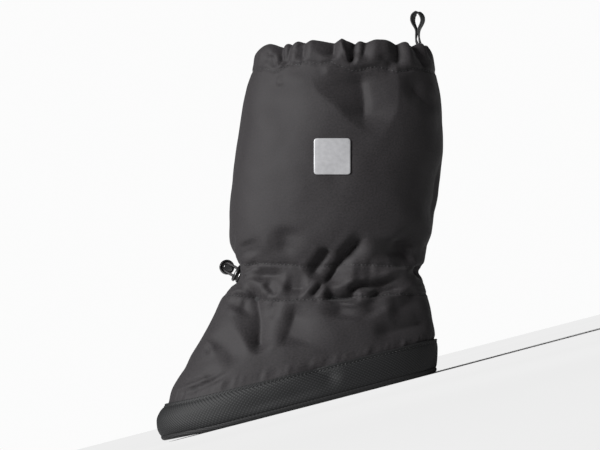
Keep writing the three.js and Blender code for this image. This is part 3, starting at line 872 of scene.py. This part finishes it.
# How far the cloth stands out of the plain skin, in millimetres.
def relief(turn, climb):
    points = skin(turn, climb)
    normals = skinNormal(turn, climb)
    x, y, z = points.T
    side = smooth(np.abs(y) / 9)
    outer = foldDepth(x, z, outerFolds) * side * (y < 0)
    inner = foldDepth(x, z, innerFolds) * side * (y >= 0)
    front = foldDepth(y, z, frontFolds) * smooth((-normals[:, 0] - 0.5) / 0.3)
    back = foldDepth(y, z, backFolds) * smooth((normals[:, 0] - 0.5) / 0.3)
    height = -(outer + inner + front + back)

    hem = hemLine(turn)
    low = casingLow(turn)
    high = casingHigh(turn)
    inHem = np.clip((climb - hem) / (hemTop - hem), 0, 1)
    inCasing = np.clip((climb - low) / (high - low), 0, 1)
    height += gathers["hemPuff"] * np.sin(np.pi * np.minimum(inHem * 1.15, 1)) ** 0.7
    height += gathers["casingPuff"] * np.sin(np.pi * inCasing) ** 0.7
    for k, line in enumerate((hem, low, high)):
        beside = (climb - line) / gathers["grooveWidth"]
        height -= gathers["groove"] * np.exp(-beside * beside)
        reach = (climb - line) / gathers["puckerReach"]
        height += gathers["pucker"] * puckers(turn, k + 1.0) * np.exp(-reach * reach)
    overBand = (climb - bandTop - gathers["overBand"][1]) / gathers["overBand"][1]
    height += gathers["overBand"][0] * puckers(turn * 0.7, 9.0) * np.exp(-overBand * overBand)
    for k, (size, depth) in enumerate(gathers["noise"]):
        height += depth * clothNoise(points, size, 7.3 * (k + 1))
    shown = smooth((climb - bandTop + 2) / 8)
    return height * shown + bandRelief(turn, climb) * (1 - shown)


bandFolds = {
    "outer": [
        fold([(8, 30), (14, 25), (21, 20), (33, 11)], (6, 3), 2.2, (0, 0.35), 1.2),
        fold([(-52, 6), (-30, 9), (0, 10), (30, 9)], (9, 5), 1, (0.4, 0.4)),
    ],
    "inner": [fold([(-8, 28), (-18, 18), (-38, 9), (-60, 7)], (5, 3), 1.8)],
    "noise": (26, 0.5),
}


def bandRelief(turn, climb):
    points = skin(turn, climb)
    x, y, z = points.T
    side = smooth(np.abs(y) / 9)
    outer = foldDepth(x, z, bandFolds["outer"]) * side * (y < 0)
    inner = foldDepth(x, z, bandFolds["inner"]) * side * (y >= 0)
    size, depth = bandFolds["noise"]
    rise = smooth(climb / 6)
    return (depth * clothNoise(points, size, 3.1) - outer - inner) * rise


def onCloth(turn, climb, out):
    normals = skinNormal(turn, climb)
    return skin(turn, climb) + normals * (relief(turn, climb) + out)[:, None], normals


# The upper: outer cloth, rolled hem and lining in one closed wall.
upperGrid = {
    "columns": 384,
    "rows": [  # from, to, millimetres between rows
        (0, bandTop - 3, 5),
        (bandTop - 3, casingFoot - 16, 1.35),
        (casingFoot - 16, casingTop + 18, 1.05),
        (casingTop + 18, hemFoot - 24, 1.9),
        (hemFoot - 24, hemTop - 2.3, 0.95),
    ],
    "rollSteps": 8,
    "liningStep": 6,
    "rollRadius": 2.3,
    "scallop": 0.25,  # how much of the gathers shows in the collar's edge
    "scallopRange": (-0.8, 0.5),
}


def rowClimbs(spans):
    rows = [0]
    for low, high, step in spans:
        count = math.ceil((high - low) / step)
        rows.extend(low + (high - low) * (k + 1) / count for k in range(count))
    return np.array(rows)


def makeUpper():
    columns = upperGrid["columns"]
    turns = np.arange(columns) / columns
    outerClimbs = rowClimbs(upperGrid["rows"])
    radius = upperGrid["rollRadius"]
    edge = outerClimbs[-1]
    allTurns = np.tile(turns, len(outerClimbs))
    allClimbs = np.repeat(outerClimbs, columns)
    heights = relief(allTurns, allClimbs)
    normals = skinNormal(allTurns, allClimbs)
    outer = skin(allTurns, allClimbs) + normals * heights[:, None]
    rimRow = slice(0, columns)
    outer[rimRow, 2] = shoe["rim"] + springAt(outer[rimRow, 0], 0)

    level = np.full(columns, edge)
    lastHeights = heights[-columns:]
    lastNormals = normals[-columns:]
    upward = unit(skin(turns, level) - skin(turns, level - 1))
    base = skin(turns, level) + lastNormals * lastHeights[:, None]
    scallop = np.clip(lastHeights * upperGrid["scallop"], *upperGrid["scallopRange"])
    rolled = []
    for k in range(1, upperGrid["rollSteps"] + 1):
        a = math.pi * k / upperGrid["rollSteps"]
        out = lastNormals * (-radius + radius * math.cos(a))
        up = upward * (radius * math.sin(a) + scallop * math.sin(a))[:, None]
        rolled.append(base + out + up)

    count = math.ceil(edge / upperGrid["liningStep"])
    liningClimbs = edge * (1 - np.arange(1, count + 1) / count)
    inTurns = np.tile(turns, count)
    inClimbs = np.repeat(liningClimbs, columns)
    inHeights = relief(inTurns, inClimbs)
    inOut = inHeights - wallAt(inClimbs)
    inNormals = skinNormal(inTurns, inClimbs)
    lining = skin(inTurns, inClimbs) + inNormals * inOut[:, None]
    lining[-columns:, 2] = shoe["rim"] + springAt(lining[-columns:, 0], 0)

    points = np.vstack([outer, *rolled, lining])
    rowCount = len(outerClimbs) + len(rolled) + count
    ups = np.concatenate(
        [outerClimbs, edge + np.arange(1, len(rolled) + 1), edge + 10 + np.arange(count) * 6]
    )
    uvs = ringUvs(rowCount, columns, True, gathers["girth"], ups)
    kinds = np.zeros(rowCount * columns, dtype=np.int32)
    kinds[(len(outerClimbs) + len(rolled)) * columns :] = 1
    faces = ringFaces(rowCount, columns, True)
    piece = addPiece("upperCloth", points, faces, [shellCloth, liningKnit], uvs, kinds)
    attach(piece, "root")
    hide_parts("upper")


makeUpper()
print("upper made")


# The band round the foot: heavy twill with a turned top edge.
band = {
    "columns": 448,
    "step": 1.1,
    "edgeSteps": 6,
    "hold": 0.4,  # how far the turned edge swells
    "creaseUnder": 1.7,
    "tuck": 0.6,  # how far the lower edge turns in
    "overSole": 0.7,  # how far it reaches down over the sole's edge
}


def makeBand():
    columns = band["columns"]
    turns = np.arange(columns) / columns
    count = math.ceil(bandTop / band["step"])
    climbsUp = bandTop * np.arange(count + 1) / count
    out = shoe["bandOut"]
    inside = shoe["bandIn"]
    rings = []
    for climb in climbsUp:
        level = np.full(columns, climb)
        beside = (bandTop - climb - band["creaseUnder"]) / 0.9
        swell = band["hold"] * smooth((climb - bandTop + band["creaseUnder"]) / 1.5)
        offset = out + swell - 0.35 * math.exp(-beside * beside) + bandRelief(turns, level)
        offset = offset - band["tuck"] * max(1 - climb / 1.3, 0)
        rings.append(skin(turns, level) + skinNormal(turns, level) * offset[:, None])
    top = np.full(columns, bandTop)
    normals = skinNormal(turns, top)
    upward = unit(skin(turns, top) - skin(turns, top - 1))
    radius = (out + band["hold"] - inside) / 2
    centre = (out + band["hold"] + inside) / 2 + bandRelief(turns, top)
    for k in range(1, band["edgeSteps"] + 1):
        a = math.pi * k / band["edgeSteps"]
        move = normals * (centre + radius * math.cos(a))[:, None]
        rings.append(skin(turns, top) + move + upward * (radius * math.sin(a)))
    for share in (0.75, 0.4, 0):
        level = np.full(columns, bandTop * share)
        offset = inside + bandRelief(turns, level)
        rings.append(skin(turns, level) + skinNormal(turns, level) * offset[:, None])
    for ring in (rings[0], rings[-1]):
        ring[:, 2] = shoe["rim"] - band["overSole"] + springAt(ring[:, 0], 0)
    ups = np.concatenate([climbsUp, bandTop + np.arange(1, band["edgeSteps"] + 4)])
    rowCount = len(rings)
    uvs = ringUvs(rowCount, columns, True, 470, ups)
    faces = ringFaces(rowCount, columns, True)
    piece = addPiece("bandTwillCloth", np.vstack(rings), faces, [bandTwill], uvs)
    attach(piece, "root")
    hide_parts("foot_band")


makeBand()
print("band made")


# The sole: a padded plate of the same twill.
sole = {
    "columns": 224,
    "edgeRound": 2.2,
    "rings": 16,
    # up the edge as a share of the thickness, and inset as a share of edgeRound
    "edge": [(0, 1), (0.06, 0.7), (0.2, 0.35), (0.42, 0.1), (0.68, 0), (0.9, 0.06), (1, 0.2)],
}


def makeSole():
    columns = sole["columns"]
    turns = np.arange(columns) / columns
    level = np.zeros(columns)
    outline = skin(turns, level) + skinNormal(turns, level) * shoe["bandOut"]
    length = np.linalg.norm(outline[:, :2], axis=1)
    lift = springAt(outline[:, 0], 0)
    rings = []

    def addRing(inset, share, z):
        size = (length - inset * sole["edgeRound"]) / length * share
        ring = np.stack([outline[:, 0] * size, outline[:, 1] * size, z + lift * share], axis=-1)
        rings.append(ring)

    thickness = shoe["soleThickness"]
    for k in range(1, sole["rings"]):
        share = k / sole["rings"]
        addRing(1, share, 0)
    for up, inset in sole["edge"]:
        addRing(inset, 1, up * thickness)
    for k in range(1, sole["rings"]):
        share = 1 - k / sole["rings"]
        addRing(0.2, share, thickness - 0.2)
    rowCount = len(rings)
    points = np.vstack(rings)
    faces = ringFaces(rowCount, columns, False)
    capEnds(faces, rowCount, columns)
    corners = np.array([index for face in faces for index in face])
    uvs = points[corners][:, :2] + points[corners][:, 2:] + 200
    kinds = np.zeros(len(faces), dtype=np.int32)
    topStart = (sole["rings"] + len(sole["edge"]) - 1) * columns
    kinds[topStart:] = 1
    piece = addPiece("soleTwillCloth", points, faces, [soleTwill, liningKnit], uvs, kinds)
    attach(piece, "root")
    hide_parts("outsole")


makeSole()
print("sole made")


# The drawcord repeats the part's route: out of the casing, round the end piece and back.
cordParts = {
    "diameter": 2,
    "spacing": 6,
    "pitch": 30,
    "rise": 0.54,
    "lockDiameter": 13,
    "lockThickness": 6.2,
    "lockGroove": 1.1,
    "lockOut": 7.4,
    "endDiameter": 10.6,
    "endThickness": 6,
    "endOut": 9.8,
}
rootClimb = casingFoot + (casingTop - casingFoot) * cordParts["rise"]
cordRoot = skin(np.array([0.0]), np.array([rootClimb]))[0]
cordTilt = math.radians(cordParts["pitch"]) + lean
cordLine = np.array([-math.cos(cordTilt), 0, math.sin(cordTilt)])
cordSide = np.array([math.sin(cordTilt), 0, math.cos(cordTilt)])


def onCord(out, side):
    return cordRoot + cordLine * out + cordSide * side


def cordPath():
    half = cordParts["spacing"] / 2
    start = -shoe["casingWall"] - cordParts["diameter"]
    lock = cordParts["lockOut"]
    far = lock + cordParts["endOut"]
    straight = [start, start / 2, 0, lock / 2, lock, (lock + far) / 2]
    out = [onCord(d, half) for d in straight]
    home = [onCord(d, -half) for d in reversed(straight)]
    turned = []
    for degrees in (90, 60, 30, 0, -30, -60, -90):
        a = math.radians(degrees)
        turned.append(onCord(far + half * math.cos(a), half * math.sin(a)))
    return smoothLine([*out, *turned, *home], 4)


# A round tube along a path in the shoe's upright middle plane.
def tube(name, path, radius, sides, finish):
    along = unit(np.gradient(path, axis=0))
    across = np.tile([0.0, 1.0, 0.0], (len(path), 1))
    up = np.cross(along, across)
    angles = 2 * np.pi * np.arange(sides) / sides
    points = sweep(path, across, up, [(radius * math.cos(a), radius * math.sin(a)) for a in angles])
    faces = ringFaces(len(path), sides, False)
    capEnds(faces, len(path), sides)
    uvs = ringUvs(len(path), sides, False, 2 * math.pi * radius, arcLengths(path))
    return addPiece(name, points, faces, [finish], cappedUvs(uvs, sides))


# A turned piece: its profile is (radius, height) along an axis at a centre.
def turned(name, profile, centre, axis, side, sides, finish):
    other = np.cross(axis, side)
    rings = []
    for radius, height in profile:
        angles = 2 * np.pi * np.arange(sides) / sides
        spoke = np.outer(np.cos(angles), side) + np.outer(np.sin(angles), other)
        rings.append(centre + axis * height + spoke * radius)
    points = np.vstack(rings)
    faces = ringFaces(len(profile), sides, False)
    capEnds(faces, len(profile), sides)
    return addPiece(name, points, faces, [finish])


def makeCord():
    path = cordPath()
    line = tube("cordLine", path, cordParts["diameter"] / 2, 20, braidedCord)
    radius = cordParts["lockDiameter"] / 2
    half = cordParts["lockThickness"] / 2
    groove = radius - cordParts["lockGroove"]
    lockProfile = smoothProfile([
        (0.2, -half), (radius * 0.72, -half), (radius * 0.88, -half * 0.86),
        (radius * 0.94, -half * 0.62), (radius * 0.93, -half * 0.3), (groove, -half * 0.12),
        (groove, half * 0.12), (radius * 0.99, half * 0.3), (radius, half * 0.5),
        (radius * 0.96, half * 0.72), (radius * 0.78, half * 0.95), (0.2, half),
    ])
    lock = turned(
        "lockBody", lockProfile, onCord(cordParts["lockOut"], 0), cordLine, cordSide, 72, glossPlastic
    )
    radius = cordParts["endDiameter"] / 2
    half = cordParts["endThickness"] / 2
    endProfile = smoothProfile([
        (0.2, -half), (radius * 0.4, -half), (radius * 0.7, -half * 0.93), (radius * 0.9, -half * 0.62),
        (radius, -half * 0.15), (radius, half * 0.15), (radius * 0.9, half * 0.62),
        (radius * 0.7, half * 0.93), (radius * 0.4, half), (0.2, half),
    ])
    endOut = cordParts["lockOut"] + cordParts["endOut"]
    centre = onCord(endOut, 0)
    button = turned(
        "endButton", endProfile, centre, np.array([0, 1.0, 0]), np.array([1.0, 0, 0]), 72, glossPlastic
    )
    cutChannel(button, path)
    cutChannel(lock, path)
    for piece, node in ((line, "drawcord"), (lock, "cord_lock"), (button, "cord_end")):
        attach(piece, "root")
        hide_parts(node)


def smoothProfile(points):
    return [tuple(p) for p in smoothLine(points, 4)]


# Takes out the slivers that a cut leaves behind.
def cleanCut(mesh):
    work = bmesh.new()
    work.from_mesh(mesh)
    bmesh.ops.remove_doubles(work, verts=work.verts, dist=0.012 * mm)
    bmesh.ops.triangulate(work, faces=work.faces)
    bmesh.ops.dissolve_degenerate(work, edges=work.edges, dist=0.012 * mm)
    bmesh.ops.recalc_face_normals(work, faces=work.faces)
    work.to_mesh(mesh)
    work.free()


# Cuts the cord's channel into a plastic piece, open towards the outer side on the end piece.
def cutChannel(piece, path):
    isEnd = piece.name == "endButton"
    radius = cordParts["diameter"] / 2 + 0.25
    cutter = tube("cutter", path, radius, 20, glossPlastic)
    cutters = [cutter]
    if isEnd:
        for step in (1.2, 2.4, 3.6):
            outside = tube("cutter", path - np.array([0, step, 0]), radius, 20, glossPlastic)
            cutters.append(outside)
    for tool in cutters:
        cut = piece.modifiers.new("cut", "BOOLEAN")
        cut.operation = "DIFFERENCE"
        cut.solver = "EXACT"
        cut.object = tool
    graph = bpy.context.evaluated_depsgraph_get()
    result = bpy.data.meshes.new_from_object(piece.evaluated_get(graph))
    piece.modifiers.clear()
    piece.data = result
    cleanCut(result)
    for tool in cutters:
        bpy.data.objects.remove(tool)


makeCord()
print("cord, lock and end piece made")


# Stitches: short capsules along a line on the cloth, joined into one mesh a seam.
seams = {
    "length": 1.9,
    "gap": 0.75,
    "radius": 0.26,
    "rise": 0.42,  # how far the middle stands over the ends
    "sink": 0.3,  # how deep the ends go into the cloth
    "sides": 7,
    "rings": 6,
}


def stitchRow(name, turns, climbAt, out, surface):
    dense = np.linspace(turns[0], turns[1], 3200)
    climb = climbAt(dense)
    points, normals = surface(dense, climb, np.full_like(dense, out))
    arc = arcLengths(points)
    pitch = seams["length"] + seams["gap"]
    count = int(arc[-1] / pitch)
    pitch = arc[-1] / count
    angles = 2 * np.pi * np.arange(seams["sides"]) / seams["sides"]
    shares = np.linspace(0, 1, seams["rings"])
    allPoints = []
    faces = []
    uvs = []
    for k in range(count):
        begin = k * pitch
        where = begin + shares * (pitch - seams["gap"])
        centre = np.stack([np.interp(where, arc, points[:, i]) for i in range(3)], axis=-1)
        normal = unit(np.stack([np.interp(where, arc, normals[:, i]) for i in range(3)], axis=-1))
        along = unit(np.gradient(centre, axis=0))
        beside = np.cross(normal, along)
        bulge = np.sin(np.pi * np.clip(shares, 0.04, 0.96)) ** 0.5
        centre = centre + normal * (bulge * seams["rise"] - seams["sink"])[:, None]
        radius = seams["radius"] * (0.45 + 0.55 * bulge)
        rings = [
            centre + (beside * math.cos(a) + normal * math.sin(a)) * radius[:, None] for a in angles
        ]
        first = k * seams["rings"] * seams["sides"]
        allPoints.append(np.stack(rings, axis=1).reshape(-1, 3))
        block = ringFaces(seams["rings"], seams["sides"], False)
        capEnds(block, seams["rings"], seams["sides"])
        faces.extend(tuple(first + i for i in face) for face in block)
        size = 2 * math.pi * seams["radius"]
        uv = ringUvs(seams["rings"], seams["sides"], False, size, where)
        uvs.append(cappedUvs(uv, seams["sides"]))
    piece = addPiece(name, np.vstack(allPoints), faces, [greyThread], np.vstack(uvs))
    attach(piece, "root")
    return piece


def onBand(turn, climb, out):
    normals = skinNormal(turn, climb)
    offset = shoe["bandOut"] + bandRelief(turn, climb) + out
    return skin(turn, climb) + normals * offset[:, None], normals


def makeStitches():
    stitchRow("hemStitches", (0, 1), hemLine, 0.1, onCloth)
    stitchRow("casingStitchesLow", (0, 1), casingLow, 0.1, onCloth)
    stitchRow("casingStitchesHigh", (0, 1), casingHigh, 0.1, onCloth)

    def underEdge(turn):
        return np.full_like(turn, bandTop - band["creaseUnder"])

    stitchRow("bandStitches", (0, 1), underEdge, -0.15, onBand)


makeStitches()
print("stitches made")


# The pull loop: one ribbed tape, folded into an eye, a little twisted above the hem.
loop = {
    "width": 9,
    "thickness": 1.3,
    "eye": (149.05, 246.05),
    "eyeSize": (5.8, 8.6),
    "foot": (143.6, 216),
    "legGap": 1.7,
    "twist": 24,  # degrees
}


def makeLoop():
    eyeX, eyeZ = loop["eye"]
    footX, footZ = loop["foot"]
    up = np.array([math.sin(lean), math.cos(lean)])
    back = np.array([math.cos(lean), -math.sin(lean)])
    half = np.array(loop["eyeSize"]) / 2 + loop["thickness"] / 2
    centre = np.array([eyeX, eyeZ])
    gap = loop["legGap"] / 2
    low = np.array([footX, footZ])
    neck = centre - up * (half[1] + 3)
    knots = [low - back * gap, low + up * 9 - back * gap, neck - up * 7 - back * gap * 1.3]
    knots.append(neck - back * gap)
    for degrees in (215, 180, 145, 110, 90, 70, 35, 0, -35):
        a = math.radians(degrees)
        knots.append(centre + back * half[0] * math.cos(a) + up * half[1] * math.sin(a))
    knots.append(neck + back * gap)
    knots.append(neck - up * 7 + back * gap * 1.5)
    knots.extend([low + up * 9 + back * gap, low + back * gap])
    line = smoothLine(knots, 5)
    path = np.stack([line[:, 0], np.zeros(len(line)), line[:, 1]], axis=-1)
    along = unit(np.gradient(path, axis=0))
    rise = (path[:, 2] - footZ - 12) / 24
    angle = np.radians(loop["twist"]) * smooth(rise)
    across = np.stack([np.sin(angle), np.cos(angle), np.zeros(len(path))], axis=-1)
    across = unit(across - along * np.sum(across * along, axis=1, keepdims=True))
    flat = np.cross(along, across)
    w = loop["width"] / 2
    t = loop["thickness"] / 2
    outline = []
    for k in range(9):
        a = -math.pi / 2 + math.pi * k / 8
        outline.append((w - t + t * math.cos(a), t * math.sin(a)))
    for share in (0.6, 0.2, -0.2, -0.6):
        outline.append(((w - t) * share, t))
    for k in range(9):
        a = math.pi / 2 + math.pi * k / 8
        outline.append((-w + t + t * math.cos(a), t * math.sin(a)))
    for share in (-0.6, -0.2, 0.2, 0.6):
        outline.append(((w - t) * share, -t))
    points = sweep(path, across, flat, outline)
    columns = len(outline)
    faces = ringFaces(len(path), columns, False)
    capEnds(faces, len(path), columns)
    uvs = ringUvs(len(path), columns, False, 2 * loop["width"], arcLengths(path))
    piece = addPiece("loopTape", points, faces, [ribbedTape], cappedUvs(uvs, columns))
    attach(piece, "root")
    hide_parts("pull_loop")


makeLoop()
print("pull loop made")


# The reflective patch: a thin plain film with rounded corners, square with the shaft.
patch = {
    "side": 25,
    "corner": 2,
    "thickness": 0.6,
    "along": 1.8,
    "up": 73,
    "rings": 14,
    "flatShare": 0.985,  # the flat part inside the rounded edge
    "sink": 0.3,
}


def placeOnSide(back, up, out):
    x = shoe["ankle"][0] + back * math.cos(lean) + up * math.sin(lean)
    low = np.full_like(x, casingTop)
    high = np.full_like(x, hemTop)
    for _ in range(30):
        climb = (low + high) / 2
        frontX, frontZ, backX, backZ = sectionAt(climb)[:4]
        dx = (frontX + backX) / 2 - shoe["ankle"][0]
        dz = (frontZ + backZ) / 2 - shoe["ankle"][1]
        below = dx * math.sin(lean) + dz * math.cos(lean) < up
        low = np.where(below, climb, low)
        high = np.where(below, high, climb)
    frontX, frontZ, backX, backZ = sectionAt(climb)[:4]
    turn = np.arccos(1 - 2 * (x - frontX) / (backX - frontX)) / (2 * np.pi)
    points, normals = onCloth(turn, climb, out)
    return points


def makePatch():
    straight = patch["side"] / 2 - patch["corner"]
    outline = []
    for corner in range(4):
        turn = math.pi / 2 * corner
        spots = [(patch["side"] / 2, share * straight) for share in (-0.8, -0.5, -0.2, 0.2, 0.5, 0.8)]
        for step in range(7):
            a = math.pi / 2 * step / 6
            spots.append(
                (straight + patch["corner"] * math.cos(a), straight + patch["corner"] * math.sin(a))
            )
        for x, y in spots:
            outline.append(
                (x * math.cos(turn) - y * math.sin(turn), x * math.sin(turn) + y * math.cos(turn))
            )
    outline = np.array(outline)
    columns = len(outline)
    rings = []
    shares = [k / patch["rings"] * patch["flatShare"] for k in range(1, patch["rings"] + 1)]
    rings.extend((share, 0.35 + patch["thickness"]) for share in shares)
    rings.append((1, 0.25 + patch["thickness"]))
    rings.append((1.003, 0.1 + patch["thickness"] / 2))
    rings.append((1, -patch["sink"]))
    rings.extend((share, -patch["sink"]) for share in reversed(shares))
    size = np.repeat([r[0] for r in rings], columns)
    out = np.repeat([r[1] for r in rings], columns)
    flat = np.tile(outline, (len(rings), 1)) * size[:, None]
    points = placeOnSide(patch["along"] + flat[:, 0], patch["up"] + flat[:, 1], out)
    faces = ringFaces(len(rings), columns, False)
    capEnds(faces, len(rings), columns)
    faces = [face[::-1] for face in faces]
    corners = np.array([index for face in faces for index in face])
    uvs = flat[corners] + 50
    piece = addPiece("reflectiveFilmPatch", points, faces, [reflectiveFilm], uvs)
    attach(piece, "root")
    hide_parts("reflective_patch")


makePatch()
print("patch made")


# Studio: a pale floor, a white surrounding and a soft lamp from the toe's side.
studio = {
    "floorTone": (188, 188, 188),
    "floorSize": 30,
    "surround": 0.1,
    "backdrop": 0.97,
    "sun": {"from": (-0.66, -0.56, 0.46), "softness": 20, "strength": 10.6},
}


def makeStudio():
    finish, tree, shader = newFinish("paleFloor", studio["floorTone"], 1.0, Specular_IOR_Level=0.0)
    where = inPlace(tree)
    grain = clouds(tree, where, 0.4, 1.0)
    tint = ramp(tree, grain, 0.0, 1.0, (185, 185, 185), (191, 191, 191))
    tree.links.new(tint, shader.inputs["Base Color"])
    half = studio["floorSize"] / 2
    mesh = bpy.data.meshes.new("floor")
    corners = [(-half, -half, 0), (half, -half, 0), (half, half, 0), (-half, half, 0)]
    mesh.from_pydata(corners, [], [(0, 1, 2, 3)])
    mesh.materials.append(finish)
    floor = bpy.data.objects.new("floor", mesh)
    bpy.context.collection.objects.link(floor)

    world = bpy.data.worlds.new("surround")
    world.use_nodes = True
    bpy.context.scene.world = world
    tree = world.node_tree
    soft = tree.nodes["Background"]
    soft.inputs["Strength"].default_value = studio["surround"]
    soft.inputs["Color"].default_value = (1, 1, 1, 1)
    seen = put(tree, "ShaderNodeBackground", {"Color": (1, 1, 1, 1), "Strength": studio["backdrop"]})
    path = put(tree, "ShaderNodeLightPath")
    choose = put(
        tree,
        "ShaderNodeMixShader",
        {0: path.outputs["Is Camera Ray"], 1: soft.outputs[0], 2: seen.outputs[0]},
    )
    tree.links.new(choose.outputs[0], tree.nodes["World Output"].inputs["Surface"])

    lamp = studio["sun"]
    light = bpy.data.lights.new("softbox", "SUN")
    light.angle = math.radians(lamp["softness"])
    light.energy = lamp["strength"]
    holder = bpy.data.objects.new("softbox", light)
    bpy.context.collection.objects.link(holder)
    holder.rotation_euler = (-Vector(lamp["from"])).to_track_quat("-Z", "Y").to_euler()
    bpy.context.scene.view_settings.view_transform = "Standard"


makeStudio()
print("studio set")
